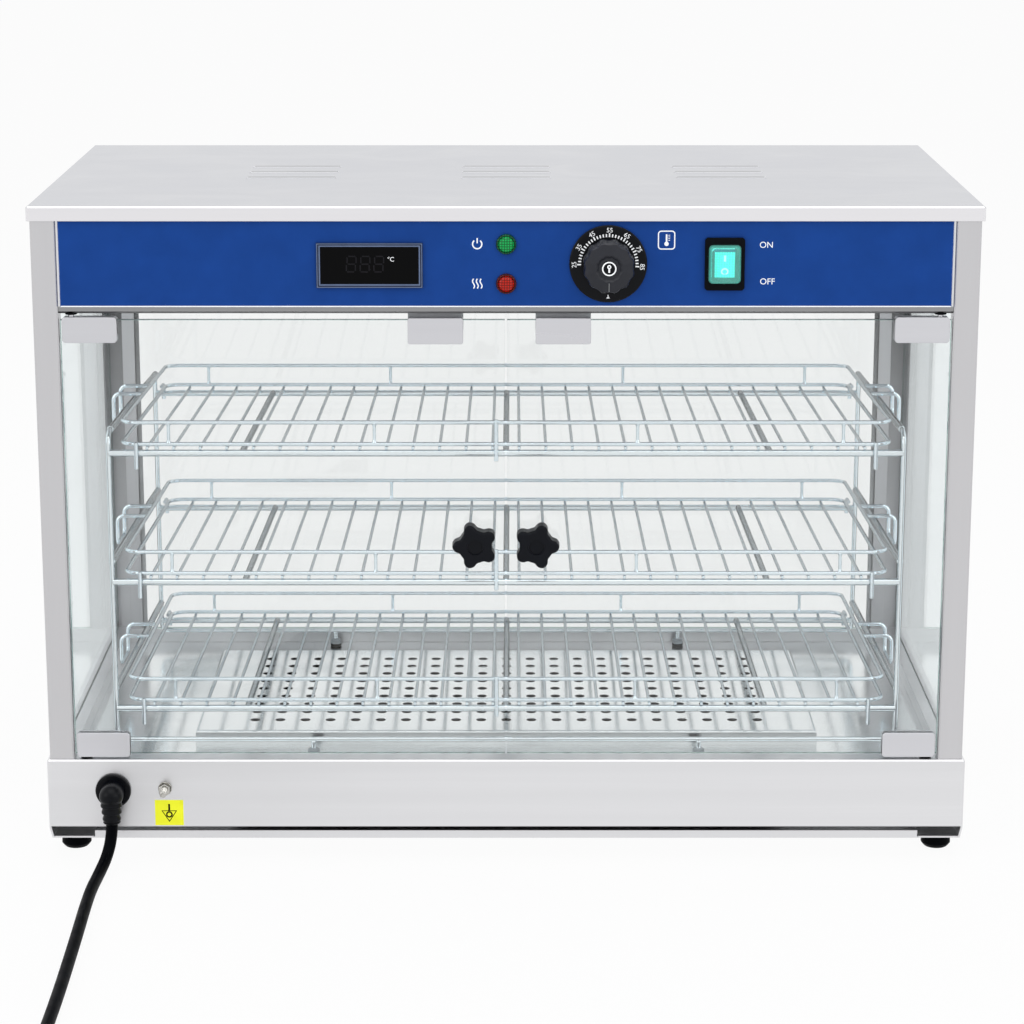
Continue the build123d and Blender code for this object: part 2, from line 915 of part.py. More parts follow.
def door_magnets():
    """Catch magnets under the header flange, just behind the strike plates."""
    face = door_back + strike_sheet + magnet_gap
    magnets = []
    for x in (strike_left_x, strike_right_x):
        half = strike_width / 2
        block = between(x - half, x + half, face, face + magnet_depth, header_bottom - magnet_height, header_bottom)
        magnets.append(chamfer(block.edges().filter_by(Axis.X).sort_by(Axis.Z)[:2], 1.5))
    return magnets


def pivot_bushes():
    """Flanged bushes for the door pins, above and below each outer corner."""
    bushes = []
    for x in (-pivot_x, pivot_x):
        for z, up, sheet in ((header_bottom, 1, panel_sheet), (base_top, -1, frame_sheet)):
            rim = (x, door_middle, z - up * bush_thickness)
            seat = (x, door_middle, z)
            end = (x, door_middle, z + up * sheet)
            bush = rod(rim, seat, 2 * (bush_barrel + bush_flange), bush_sides)
            bush += rod(seat, end, 2 * bush_barrel, bush_sides)
            bushes.append(bush - rod(rim, end, pivot_pin + 2 * pin_clearance, bush_sides))
    return bushes


def door_glass(side):
    """One door pane with its knob hole; side is -1 for left and 1 for right."""
    x = sorted((side * door_split / 2, side * door_edge))
    pane = between(*x, door_front, door_back, door_bottom, door_top)
    ends = ((side * knob_x, door_front - 1, knob_z), (side * knob_x, door_back + 1, knob_z))
    return pane - rod(*ends, knob_screw, thread_sides)


def door_fittings(side):
    """The two pivot clips with their pins and the strike plate of one door."""
    outer = door_edge - clip_end_gap + 0.7
    inner = outer - clip_width
    x0, x1 = sorted((side * inner, side * outer))
    pieces = []
    for edge, up in ((door_bottom, 1), (door_top, -1)):
        clip = U_channel(x0, x1, edge, up, clip_wall, clip_height)
        tip = edge - up * (clip_wall + pin_length)
        if up < 0:
            tip = header_bottom + panel_sheet - 0.1
        pin = rod((side * pivot_x, door_middle, edge - up * clip_wall / 2), (side * pivot_x, door_middle, tip), pivot_pin * cos(pi / pin_sides), pin_sides)
        pieces.append(clip + pin)
    strike_x = strike_left_x if side < 0 else strike_right_x
    half = strike_width / 2
    pieces.append(U_channel(strike_x - half, strike_x + half, door_top, -1, strike_sheet, strike_height))
    return pieces


def U_channel(x0, x1, edge, up, wall, height):
    """A channel round the pane's edge at height edge, opening upwards when up is 1."""
    far = edge + up * (height - wall)
    low, high = sorted((edge - up * wall, far))
    block = between(x0, x1, door_front - wall, door_back + wall, low, high)
    block = chamfer(block.edges().filter_by(Axis.Y), 0.8 * wall)
    low, high = sorted((edge, far + up))
    return block - between(x0 - 1, x1 + 1, door_front, door_back, low, high)


knob_back = door_front - washer_thickness
knob_head_back = knob_back - knob_hub_length
knob_front = knob_head_back - knob_head


def door_knob(side):
    """Five-lobed knob with a hub against the glass and a recess in its face."""
    outline = section(2 * knob_core, knob_sides)
    start = 0 if side > 0 else 180
    for place in PolarLocations(knob_lobe_circle, knob_lobes, start_angle=start):
        outline += place * section(2 * knob_lobe_radius, knob_sides)
    x = side * knob_x
    head = extrude(facing(x, knob_head_back, knob_z) * outline, knob_head)
    hub = rod((x, knob_head_back, knob_z), (x, knob_back, knob_z), knob_hub, knob_sides)
    recess = rod((x, knob_front, knob_z), (x, knob_front + 2.0, knob_z), knob_recess, knob_sides)
    bore = rod((x, knob_back, knob_z), (x, knob_front + 5.0, knob_z), knob_screw, thread_sides)
    return head + hub - recess - bore


def knob_screw_set(side):
    """Knob screw with a washer on each face of the pane."""
    x = side * knob_x
    seat = door_back + washer_thickness
    screw = rod((x, seat, knob_z), (x, knob_front + 5.0, knob_z), knob_screw, thread_sides)
    head = rod((x, seat, knob_z), (x, seat + 4.0, knob_z), 12.0, knob_sides)
    washers = []
    for y in (knob_back, door_back):
        washer = rod((x, y, knob_z), (x, y + washer_thickness, knob_z), knob_hub, knob_sides)
        washers.append(washer - screw)
    return [screw + head] + washers


# Wire rack


def rack_height(level, y):
    """Height of a shelf level's rail centres at depth y: the levels fall towards the back."""
    return level - (y - rack_front) * tan(radians(rack_tilt))


def rack_posts():
    """Bent corner posts and the short legs under the base rails."""
    top = level_z[-1] + side_rail_rise
    reach = rack_bend + 4.0
    front = bent_rod(
        [
            (rack_side - reach, rack_front, base_rail_z),
            (rack_side, rack_front, base_rail_z),
            (rack_side, rack_front, top),
            (rack_side, rack_front + reach, top - reach * tan(radians(rack_tilt))),
        ],
        rack_bend,
        post_wire,
        rack_sides,
    )
    rear = bent_rod(
        [
            (rack_side - rear_bend - 4.0, rack_back, base_rail_z),
            (rack_side, rack_back, base_rail_z),
            (rack_side, rack_back, top - rack_drop - rail_wire / 2 - weld_play),
        ],
        rear_bend,
        post_wire,
        rack_sides,
    )
    leg_bottom = floor_top + boot_rest_gap + leg_boot_floor
    leg_top = base_rail_z - post_wire / 2
    legs = [
        rod((side * leg_spacing / 2, y, leg_bottom), (side * leg_spacing / 2, y, leg_top), post_wire, rack_sides)
        for side in (-1, 1)
        for y in (rack_front, rack_back)
    ]
    return both_sides(front) + both_sides(rear) + legs


def rack_rails():
    """Rails from side to side: two at the base and two at each shelf level."""
    rails = []
    for y, radius in ((rack_front, rack_bend), (rack_back, rear_bend)):
        half = rack_side - radius - 4.0
        rails.append(rod((-half, y, base_rail_z), (half, y, base_rail_z), post_wire, rack_sides))
        half = rack_side - post_wire / 2 - weld_play
        for level in level_z:
            z = rack_height(level, y)
            rails.append(rod((-half, y, z), (half, y, z), rail_wire, rack_sides))
    return rails


def runner(x, start, end, level, diameter):
    """A bar from front to back that falls with the levels."""
    ends = [(x, y, rack_height(level, y)) for y in (start, end)]
    return rod(*ends, diameter, rack_sides)


def rack_runners():
    """Side rails and shelf supports, from front to back, falling with the levels."""
    runners = []
    for level in level_z:
        start = rack_front + post_wire / 2 + weld_play
        end = rack_back - post_wire / 2 - weld_play
        if level == level_z[-1]:
            start = rack_front + rack_bend + 4.0
            end = rack_back + rail_wire
        runners += both_sides(runner(rack_side, start, end, level + side_rail_rise, rail_wire))
        rise = (rail_wire - support_wire) / 2
        start = rack_front + rail_wire / 2 + weld_play
        end = rack_back - rail_wire / 2 - weld_play
        for x in (-support_spacing, 0, support_spacing):
            runners.append(runner(x, start, end, level + rise, support_wire))
    return runners


def rack_boots():
    """Rubber boots on the legs."""
    boots = []
    bottom = floor_top + boot_rest_gap
    top = bottom + leg_boot_height
    for side in (-1, 1):
        for y in (rack_front, rack_back):
            x = side * leg_spacing / 2
            boot = rod((x, y, bottom), (x, y, top), leg_boot_diameter, rack_sides)
            boots.append(boot - rod((x, y, bottom + leg_boot_floor), (x, y, top), post_wire, rack_sides))
    return boots


# Wire shelves, drawn flat and then laid on the rails

QUARTERS = ((1, 1), (-1, 1), (-1, -1), (1, -1))
shelf_half = rack_depth / 2 / cos(radians(rack_tilt))
finger_y = shelf_half + rail_wire / 2 + hook_gap + frame_wire / 2
ring_y = finger_y - frame_wire
frame_z = cross_wire + frame_wire / 2
guard_z = frame_z + guard_height
shelf_side = shelf_width / 2


def lay_shelf(shape, level):
    """Moves a shelf piece from its flat drawing onto a rack level."""
    y = rack_front + rack_depth / 2
    lift = rail_wire / 2 + shelf_rest_gap
    return Pos(0, y, rack_height(level, y)) * Rot(X=-rack_tilt) * Pos(0, 0, lift) * shape


def wire_ring(z):
    """Closed rectangular ring of frame wire with eased corners."""
    corners = [(side_x * shelf_side, side_y * ring_y, z) for side_x, side_y in QUARTERS]
    path = Polyline(*eased(corners, shelf_corner, closed=True), close=True)
    plane = section_plane(path @ 0, path % 0)
    return sweep(plane * section(frame_wire, wire_sides), path=path, transition=Transition.RIGHT)


def shelf_grid():
    """Lower ring with the cross wires welded under it."""
    first = -(cross_wires - 1) * cross_pitch / 2
    end = ring_y + frame_wire / 2
    wires = []
    for number in range(cross_wires):
        x = first + number * cross_pitch
        wires.append(rod((x, -end, cross_wire / 2), (x, end, cross_wire / 2), cross_wire, wire_sides))
    return wire_ring(frame_z) + wires


def shelf_guard():
    """Upper ring on its uprights."""
    uprights = []
    foot, head = frame_z + frame_wire / 2, guard_z - frame_wire / 2
    for x in (-upright_outer, -upright_inner, upright_inner, upright_outer):
        for y in (-ring_y, ring_y):
            uprights.append(rod((x, y, foot), (x, y, head), cross_wire, wire_sides))
    return wire_ring(guard_z) + uprights


def shelf_hooks():
    """Loops over the side rails and fingers in front of and behind the level's rails."""
    edge = shelf_side + frame_wire / 2
    out = edge + hook_out
    y0, y1 = hook_centre - hook_length / 2, hook_centre + hook_length / 2
    loop = bent_rod(
        [
            (edge, y0, guard_z),
            (out, y0, guard_z),
            (out, y0, guard_z - hook_drop),
            (out, y1, guard_z - hook_drop),
            (out, y1, guard_z),
            (edge, y1, guard_z),
        ],
        hook_bend,
        frame_wire,
        wire_sides,
        chords=1,
    )
    rear = bent_rod(
        [
            (edge + frame_wire / 2, ring_y - shelf_corner, frame_z),
            (edge + frame_wire / 2, finger_y, frame_z),
            (edge + frame_wire / 2, finger_y, frame_z - rear_finger_drop),
        ],
        hook_bend - 1,
        frame_wire,
        wire_sides,
        chords=1,
    )
    finger_top = frame_z + frame_wire / 2
    finger = rod((finger_x, -finger_y, finger_top), (finger_x, -finger_y, -finger_drop), frame_wire, wire_sides)
    middle = rod(
        (middle_finger_x, -finger_y, guard_z + middle_finger_top),
        (middle_finger_x, -finger_y, -middle_finger_drop),
        frame_wire,
        wire_sides,
    )
    return both_sides(loop) + both_sides(rear) + both_sides(finger) + [middle]


# Supply


def cord_gland():
    """Right-angle strain relief on the base, ribbed where it points down, with its inner nut."""
    flange = extrude(facing(gland_x, case_front, gland_z) * section(gland_flange, gland_sides), 3.0)
    elbow_y = case_front - gland_out
    head = rod((gland_x, case_front, gland_z), (gland_x, elbow_y, gland_z), gland_body, gland_sides)
    head += rod((gland_x, elbow_y, gland_z + gland_body / 2), (gland_x, elbow_y, gland_z), gland_body, gland_sides)
    rib = gland_drop / (2 * gland_ribs + 1)
    for number in range(2 * gland_ribs + 1):
        share = number / (2 * gland_ribs)
        diameter = gland_body * (1 - share) + gland_exit_diameter * share
        diameter -= 0 if number % 2 == 0 else 2.0
        top = gland_z - number * rib
        head += rod((gland_x, elbow_y, top), (gland_x, elbow_y, top - rib), diameter, gland_sides)
    inner = case_front + frame_sheet
    thread = rod((gland_x, case_front, gland_z), (gland_x, case_front + 12, gland_z), gland_thread, thread_sides)
    nut = rod((gland_x, inner, gland_z), (gland_x, inner + 5, gland_z), 22.0, 6)
    return [flange + head + thread, nut - thread]


def earth_stud():
    """Earth stud through the base front with its washers and nuts."""
    inner = case_front + frame_sheet
    tip = case_front - earth_length
    stud = rod((earth_x, tip, earth_z), (earth_x, inner, earth_z), earth_thread, thread_sides)
    head = rod((earth_x, inner, earth_z), (earth_x, inner + 3.5, earth_z), 8.0, 6)
    pieces = [stud + head]
    y = case_front
    for across_flats, thickness, sides in ((10.0, 1.0, 12), (8.0, 4.0, 6)):
        ring = rod((earth_x, y, earth_z), (earth_x, y - thickness, earth_z), across_flats, sides)
        pieces.append(ring - stud)
        y -= thickness
    return pieces


def terminal_block():
    """Terminal block on the inner face of the base front."""
    width, depth, height = terminal_size
    y0 = case_front + frame_sheet
    block = between(
        terminal_x - width / 2,
        terminal_x + width / 2,
        y0,
        y0 + depth,
        terminal_z - height / 2,
        terminal_z + height / 2,
    )
    ways = 3
    for number in range(1, ways):
        x = terminal_x + width * (number / ways - 0.5)
        block -= between(x - 1, x + 1, y0 + depth / 2, y0 + depth + 1, terminal_z - height, terminal_z + height)
    return block


# Mains cord

cord_z = cord_diameter / 2
gland_exit = (gland_x, case_front - gland_out, gland_z - gland_drop)
lay_turns = (coil_turns - 0.5) / 2
coil_outer = coil_radius + coil_pitch * lay_turns / 2
coil_start = (coil_x - coil_outer, coil_y, cord_z)

lead_points = [
    gland_exit,
    (gland_x, case_front - gland_out, gland_z - gland_drop - 10.0),
    (gland_x - 1.0, case_front - gland_out - 7.0, 11.0),
    (gland_x - 4.5, case_front - gland_out - 27.0, cord_z),
    (gland_x - 8.5, -232.0, cord_z),
    (gland_x - 7.5, -272.0, cord_z),
    (gland_x - 3.5, -314.0, cord_z),
    (gland_x - 4.2, -358.0, cord_z),
    (gland_x - 1.5, -402.0, cord_z),
    (gland_x - 3.0, -446.0, cord_z),
    (coil_start[0] + 1.2, -492.0, cord_z),
    (coil_start[0], -530.0, cord_z),
    coil_start,
]


def corner_radii(points):
    """The largest tidy arc at each corner: 0.45 of the shorter run over the half turn's tangent."""
    radii = []
    for before, corner, after in zip(points, points[1:], points[2:]):
        arriving = Vector(*corner) - Vector(*before)
        leaving = Vector(*after) - Vector(*corner)
        half_turn = radians(arriving.get_angle(leaving)) / 2
        radii.append(0.45 * min(arriving.length, leaving.length) / tan(half_turn))
    return radii


def tube_along(path):
    """Faceted cord along a path, a flat side down."""
    plane = section_plane(path @ 0, path % 0)
    return sweep(plane * RegularPolygon(cord_diameter / 2, cord_sides), path=path)


def cord_lead():
    """Cord from the strain relief down to the surface and forward to the coil."""
    radii = corner_radii(lead_points)
    print("cord lead radii", [round(radius, 1) for radius in radii])
    path = FilletPolyline(*lead_points, radius=radii)
    tube = tube_along(path)
    print("cord lead length", round(path.length, 1))
    return tube


def coil_point(turn):
    """A point on the coil's centre line, counted in turns from its start on the surface."""
    angle = pi + 2 * pi * turn
    inner = coil_outer - coil_pitch * lay_turns
    if turn <= lay_turns:
        radius, z = coil_outer - coil_pitch * turn, cord_z
    elif turn <= lay_turns + 0.5:
        share = (turn - lay_turns) / 0.5
        radius = inner - coil_dip * sin(pi * share)
        z = cord_z + coil_layer * (1 - cos(pi * share)) / 2
    else:
        radius, z = inner + coil_pitch * (turn - lay_turns - 0.5), cord_z + coil_layer
    return Vector(coil_x + radius * cos(angle), coil_y + radius * sin(angle), z)


def coil_direction(turn):
    """The coil's direction at a turn, level and forward at both ends."""
    step = 1e-4
    if turn == 0:
        return Vector(0, -1, 0)
    if turn == coil_turns:
        return Vector(1, 0, 0)
    return (coil_point(turn + step) - coil_point(turn - step)).normalized()


def biarc(start, start_direction, end, end_direction):
    """Two arcs from start to end that keep both directions."""
    chord = end - start
    total = start_direction + end_direction
    bent = 2 * (1 - start_direction.dot(end_direction))
    along = chord.dot(total)
    reach = (sqrt(along**2 + bent * chord.dot(chord)) - along) / bent
    middle = (start + end + (start_direction - end_direction) * reach) / 2
    first = TangentArc(start, middle, tangent=start_direction)
    second = TangentArc(middle, end, tangent=first % 1)
    return [first, second]


coil_quarters = round(4 * coil_turns)


def coil_path():
    """The coil's whole centre line, a biarc for each quarter turn, with straight ends."""
    edges = []
    turns = [coil_turns * number / coil_quarters for number in range(coil_quarters + 1)]
    for begin, finish in zip(turns, turns[1:]):
        edges += biarc(coil_point(begin), coil_direction(begin), coil_point(finish), coil_direction(finish))
    last = coil_point(coil_turns)
    edges.append(Line(last, last + Vector(coil_end_run, 0, 0)))
    return Wire(edges)


def coil_gap(path):
    """Least distance between two turns of the coil, measured on points along its path."""
    samples = [path @ (number / 800) for number in range(801)]
    near = round(800 / coil_turns / 2)
    least = min(
        (a - b).length for i, a in enumerate(samples) for b in samples[i + near :]
    )
    return least - cord_diameter


def cord_coil():
    """The put-away length: a flat coil of two layers, spiralling in and out again."""
    path = coil_path()
    print("cord coil length", round(path.length, 1), "least gap", round(coil_gap(path), 2))
    return tube_along(path)


plug_start = coil_point(coil_turns) + Vector(coil_end_run, 0, 0)


def plug_body():
    """Moulded round plug lying on its side, with a tapered sleeve for the cord."""
    rise = Vector(plug_sleeve, 0, plug_diameter / 2 - plug_start.Z)
    neck = section_plane(plug_start + rise, (1, 0, 0))
    thin = section(cord_diameter + 1.6, plug_sides)
    thick = section(0.72 * plug_diameter, plug_sides)
    sleeve = loft([section_plane(plug_start, (1, 0, 0)) * thin, neck * thick])
    body = extrude(neck * section(plug_diameter, plug_sides), plug_length)
    return sleeve + chamfer(body.faces().sort_by(Axis.X)[0].edges(), 4)


def plug_pins():
    """Two round pins with eased tips."""
    axis_z = plug_diameter / 2
    x = plug_start.X + plug_sleeve + plug_length
    pins = []
    for side in (-1, 1):
        y = plug_start.Y + side * plug_pin_spacing / 2
        pin = rod((x, y, axis_z), (x + plug_pin_length, y, axis_z), plug_pin, 8)
        pins.append(chamfer(pin.faces().sort_by(Axis.X)[-1].edges(), plug_pin / 4))
    return pins


def cord_tie():
    """Strap round both layers of the coil, thin where the coil stands on it."""
    inner = coil_outer - coil_pitch * lay_turns - cord_diameter / 2 - 0.6
    outer = coil_outer + cord_diameter / 2 + 0.6
    height = cord_z + coil_layer + cord_diameter / 2 + 0.3
    y = (coil_y - tie_width / 2, coil_y + tie_width / 2)
    strap = between(coil_x + inner - tie_wall, coil_x + outer + tie_wall, *y, 0, height + tie_wall)
    return strap - between(coil_x + inner, coil_x + outer, y[0] - 1, y[1] + 1, tie_under, height)


def build_pieces():
    """Every node of the case by name."""
    pieces = {
        "lid": lid(),
        "header_front": header_front(),
        "header_panels": header_panels() + [ceiling_panel()],
        "fascia_plate": fascia_plate(),
        "front_posts": front_posts(),
        "rear_posts": rear_posts(),
        "side_glass": side_glass(),
        "rear_glass": rear_glass(),
        "rear_glass_strips": rear_glass_strips(),
        "base_shell": base_shell(),
        "floor_pan": floor_pan(),
        "heater_cover": heater_cover(),
        "heater_tray": [heater_tray()] + heater_clips(),
        "heating_element": heating_element(),
        "bottom_plate": bottom_plate(),
        "feet": feet(),
        "display_module": display_module(),
        "display_window": display_window(),
        "power_lamp": lamp(power_lamp_z),
        "heat_lamp": lamp(heat_lamp_z),
        "dial_plate": dial_plate(),
        "dial_grip": dial_grip(),
        "dial_cap": dial_cap(),
        "dial_shaft": dial_shaft(),
        "thermostat_body": thermostat_body(),
        "thermostat_bulb": thermostat_bulb(),
        "switch_body": switch_body(),
        "switch_cover": switch_cover(),
        "rocker": rocker(),
        "door_magnets": door_magnets(),
        "pivot_bushes": pivot_bushes(),
        "rack_posts": rack_posts(),
        "rack_rails": rack_rails() + rack_runners(),
        "rack_boots": rack_boots(),
        "cord_gland": cord_gland(),
        "earth_stud": earth_stud(),
        "terminal_block": terminal_block(),
        "cord_lead": cord_lead(),
        "cord_coil": cord_coil(),
        "cord_tie": cord_tie(),
        "plug_body": plug_body(),
        "plug_pins": plug_pins(),
    }
    for name, side in (("left", -1), ("right", 1)):
        pieces[f"door_glass_{name}"] = door_glass(side)
        pieces[f"door_fittings_{name}"] = door_fittings(side)
        pieces[f"door_knob_{name}"] = door_knob(side)
        pieces[f"knob_screw_{name}"] = knob_screw_set(side)
    grid, guard, hooks = shelf_grid(), shelf_guard(), shelf_hooks()
    for name, level in zip(("bottom", "middle", "top"), level_z):
        pieces[f"shelf_grid_{name}"] = lay_shelf(grid, level)
        pieces[f"shelf_guard_{name}"] = lay_shelf(guard, level)
        pieces[f"shelf_hooks_{name}"] = [lay_shelf(piece, level) for piece in hooks]
    return pieces


os.makedirs("parts", exist_ok=True)
for node, shape in build_pieces().items():
    if isinstance(shape, list):
        solids = [solid for piece in shape for solid in piece.solids()]
        shape = Compound(children=solids)
    export_step(shape, f"parts/{node}.step")
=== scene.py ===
"""Heated display case for a counter: the looks of every piece, round a fixed packed model.

Everything is in metres in the packed model's own frame: x runs to the right as seen from the
front, y to the back and z up from the counter. The file is laid out as a Blender add-on.
"""

from math import cos, pi, radians, sin, tan

import bmesh
import bpy
from bpy.props import FloatProperty, FloatVectorProperty, IntProperty, PointerProperty, StringProperty
from mathutils import Matrix, Vector


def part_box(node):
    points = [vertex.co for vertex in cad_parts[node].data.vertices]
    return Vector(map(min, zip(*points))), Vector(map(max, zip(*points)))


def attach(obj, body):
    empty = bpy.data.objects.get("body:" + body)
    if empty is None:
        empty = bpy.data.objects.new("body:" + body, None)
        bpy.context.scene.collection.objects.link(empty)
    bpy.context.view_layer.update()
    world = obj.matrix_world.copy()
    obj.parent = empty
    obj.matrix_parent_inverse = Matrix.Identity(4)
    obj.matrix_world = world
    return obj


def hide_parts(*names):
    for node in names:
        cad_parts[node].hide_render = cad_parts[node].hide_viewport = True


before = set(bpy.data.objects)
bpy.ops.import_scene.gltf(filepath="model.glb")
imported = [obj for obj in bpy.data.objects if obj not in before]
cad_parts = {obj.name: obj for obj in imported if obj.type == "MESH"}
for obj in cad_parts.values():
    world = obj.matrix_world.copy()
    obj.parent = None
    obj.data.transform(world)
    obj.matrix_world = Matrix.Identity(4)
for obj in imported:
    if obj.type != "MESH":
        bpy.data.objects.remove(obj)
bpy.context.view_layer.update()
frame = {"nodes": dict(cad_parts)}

bl_info = {
    "name": "Heated Display Case",
    "version": (1, 0, 0),
    "blender": (4, 5, 0),
    "location": "3D Viewport > Sidebar > Display Case",
    "description": "Dresses a heated glass display case, its wire rack, controls and mains cord",
    "category": "Object",
}

# Planes and centres taken from the packed model
lid_low, lid_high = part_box("lid")
fascia_low, fascia_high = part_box("fascia_plate")
cover_low, cover_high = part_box("heater_cover")
case_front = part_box("base_shell")[0].y
fascia_face = fascia_low.y

# Directions
UP = Vector((0, 0, 1))
RIGHT = Vector((1, 0, 0))
TO_VIEWER = Vector((0, -1, 0))
TO_BACK = Vector((0, 1, 0))
DOWN = Vector((0, 0, -1))

# Fascia plate: how far its top goes up behind the lid's fold, and the width of a painted highlight along its
# lower edge
fascia_tuck = 0.0035
fascia_highlight_width = 0.0009

# Feet and lid vents
foot_radius = 0.01075
foot_sole = 0.0094
vent_length = 0.066
vent_hood = 0.0075
vent_rise = 0.0005
vent_pitch = 0.031
vent_spacing = 0.158
vent_offset = 0.008
vent_rows = 3

# Heater
hole_radius = 0.0037
hole_sides = 20
cover_bend = 0.0022
hole_pitch_x = 0.0188
hole_pitch_y = 0.0198
hole_columns = 21
hole_rows = 9
cover_sheet = 0.001
element_diameter = 0.0085
element_pitch = 0.040
element_bend = 0.016
element_passes = 4

# Wire rack
rack_tilt = radians(3.0)
rack_side = 0.2845
rack_front = -0.119
rack_depth = 0.286
rack_back = rack_front + rack_depth
base_rail_z = 0.077
rack_levels = (0.1007, 0.1962, 0.2917)
level_names = ("bottom", "middle", "top")
side_rail_rise = 0.015
front_bend = 0.010
rear_bend = 0.006
bend_run = 0.014
support_spacing = 0.189
leg_x = 0.141
boot_radius = 0.0045
boot_low, boot_high = 0.0643, 0.0700
boot_shadow_share = 0.36

# Wire shelves, drawn flat
shelf_side = 0.275
cross_pitch = 0.019
guard_height = 0.0157
corner_radius = 0.012
hook_out = 0.0215
hook_drop = 0.022
hook_length = 0.040
hook_centre = 0.012
hook_bend = 0.005
upright_places = (-0.241, -0.094, 0.094, 0.241)
finger_x = 0.264
finger_drop = 0.014
middle_finger_x = -0.007
middle_finger_drop = 0.008
middle_finger_rise = 0.0025
rear_finger_drop = 0.012
shelf_rest_gap = 0.0003
hook_gap = 0.0004

# Doors
knob_x = 0.0215
knob_z = 0.2365
knob_root = 0.74
knob_lobes = 5
knob_reach = 0.0163
knob_depth = 0.012
knob_hub = 0.007
knob_recess = 0.0056

# Controls
display_x, display_z = -0.0941, 0.4340
display_width, display_height = 0.0734, 0.0313
window_width = 0.0677
bezel_flat = 0.0009
bezel_slope = 0.0007
bezel_sink = 0.0006
window_seat = 0.0012
digit_count = 3
digit_height, digit_width = 0.0108, 0.0062
digit_start = -0.0125
digit_rise = 0.001
digit_pitch = 0.0095
digit_lean = 0.10
segment_width = 0.0009
segment_gap = 1.4 * segment_width
unit_size = 0.0044
unit_right, unit_rise = 0.0148, 0.0042
lamp_x = 0.0003
power_lamp_z = 0.4487
heat_lamp_z = 0.4212
dial_x, dial_z = 0.0707, 0.4352
dial_plate_radius = 0.02685
dial_plate_depth = 0.0025
grip_radius = 0.01775
grip_lobes = 12
grip_root = 0.905
cap_radius = 0.0053
cap_ring_radius = 0.0045
cap_bulb_radius = 0.0010
scale_start = radians(181)
scale_step = radians(-31)
scale_parts = 5
tick_start, tick_end, long_tick_end = 0.0188, 0.0209, 0.0215
tick_width = 0.0009
number_radius = 0.0234
number_size = 0.0045
zero_mark_drop = 0.0236
switch_x, switch_z = 0.1511, 0.4350
rocker_axle_y = -0.1605
rocker_tip = radians(7.0)

# Prints on the fascia
word_size = 0.0060
upper_word_place = (0.1797, 0.4480)
lower_word_place = (0.1808, 0.4225)
lamp_sign_x = lamp_x - 0.0200
power_ring_radius = 0.0032
sign_line = 0.0009
wave_height = 0.0068
wave_pitch = 0.0026
wave_swing = 0.0007
thin_line = 0.0008
thermometer_x, thermometer_z = 0.1108, 0.4515
thermometer_half = (0.0056, 0.0062)

# Supply
case_sheet = 0.0015
gland_x, gland_z = -0.2828, 0.0525
gland_out = 0.013
earth_x, earth_z = -0.2456, 0.0540
label_x, label_z = -0.2430, 0.0356
label_width, label_height = 0.0205, 0.0192

# Mains cord: the route's points, repeated from the part's source
cord_diameter = 0.0085
cord_route = (
    (-0.2828, -0.1770, 0.0325),
    (-0.2831, -0.1774, 0.0225),
    (-0.2858, -0.1850, 0.0100),
    (-0.2892, -0.2060, 0.00425),
    (-0.2907, -0.2360, 0.00425),
    (-0.2902, -0.2720, 0.00425),
    (-0.2889, -0.3140, 0.00425),
    (-0.2878, -0.3580, 0.00425),
    (-0.2868, -0.4020, 0.00425),
    (-0.2862, -0.4460, 0.00425),
    (-0.2861, -0.4920, 0.00425),
    (-0.28622, -0.5300, 0.00425),
)
coil_centre = Vector((-0.234, -0.562, 0.0))
coil_radius = 0.0435
coil_turns = 4.25
coil_pitch = 0.0093
coil_layer = 0.0092
coil_dip = 0.002
coil_end_run = 0.021
coil_points_per_turn = 16
plug_sleeve = 0.026
plug_length = 0.034
plug_radius = 0.0185

# View
eye = (0.0043, -2.2055, 0.7635)
view_pitch = radians(13.88)
view_lens = 105.05
ground_whiteness = 0.94


# Settings that a user may change


def colour_setting(name, description, default):
    """A colour setting."""
    return FloatVectorProperty(name=name, description=description, subtype="COLOR", default=default)


def length_setting(name, description, default):
    """A length setting."""
    return FloatProperty(name=name, description=description, default=default, unit="LENGTH", precision=5)


def power_setting(name, description, default):
    """A light's power setting."""
    return FloatProperty(name=name, description=description, default=default, unit="POWER")


class CaseFinish(bpy.types.PropertyGroup):
    """Colours and grain of the sheet metal and glass"""

    steel: colour_setting("Steel", "Colour of the brushed sheet", (0.74, 0.74, 0.755))
    upright: colour_setting("Posts", "Colour of the corner posts", (0.60, 0.595, 0.61))
    lid: colour_setting("Lid", "Colour of the lid", (0.565, 0.572, 0.600))
    fascia: colour_setting("Fascia", "Colour of the control fascia", (0.0125, 0.070, 0.335))
    glass: colour_setting("Glass", "Tint of the panes", (0.925, 0.936, 0.934))
    grain: length_setting("Grain depth", "Depth of the brushing", 0.00003)


class CaseWires(bpy.types.PropertyGroup):
    """Thickness of the rack's and the shelves' wires"""

    cross: length_setting("Cross wire", "Diameter of the shelf's cross wires", 0.0024)
    frame: length_setting("Frame wire", "Diameter of the shelf's rings", 0.003)
    post: length_setting("Post wire", "Diameter of the posts", 0.0036)
    rail: length_setting("Rail wire", "Diameter of the rails", 0.005)
    support: length_setting("Support wire", "Diameter of the supports", 0.0046)
    crossings: IntProperty(name="Cross wires", description="Cross wires on a shelf", default=28, min=2)


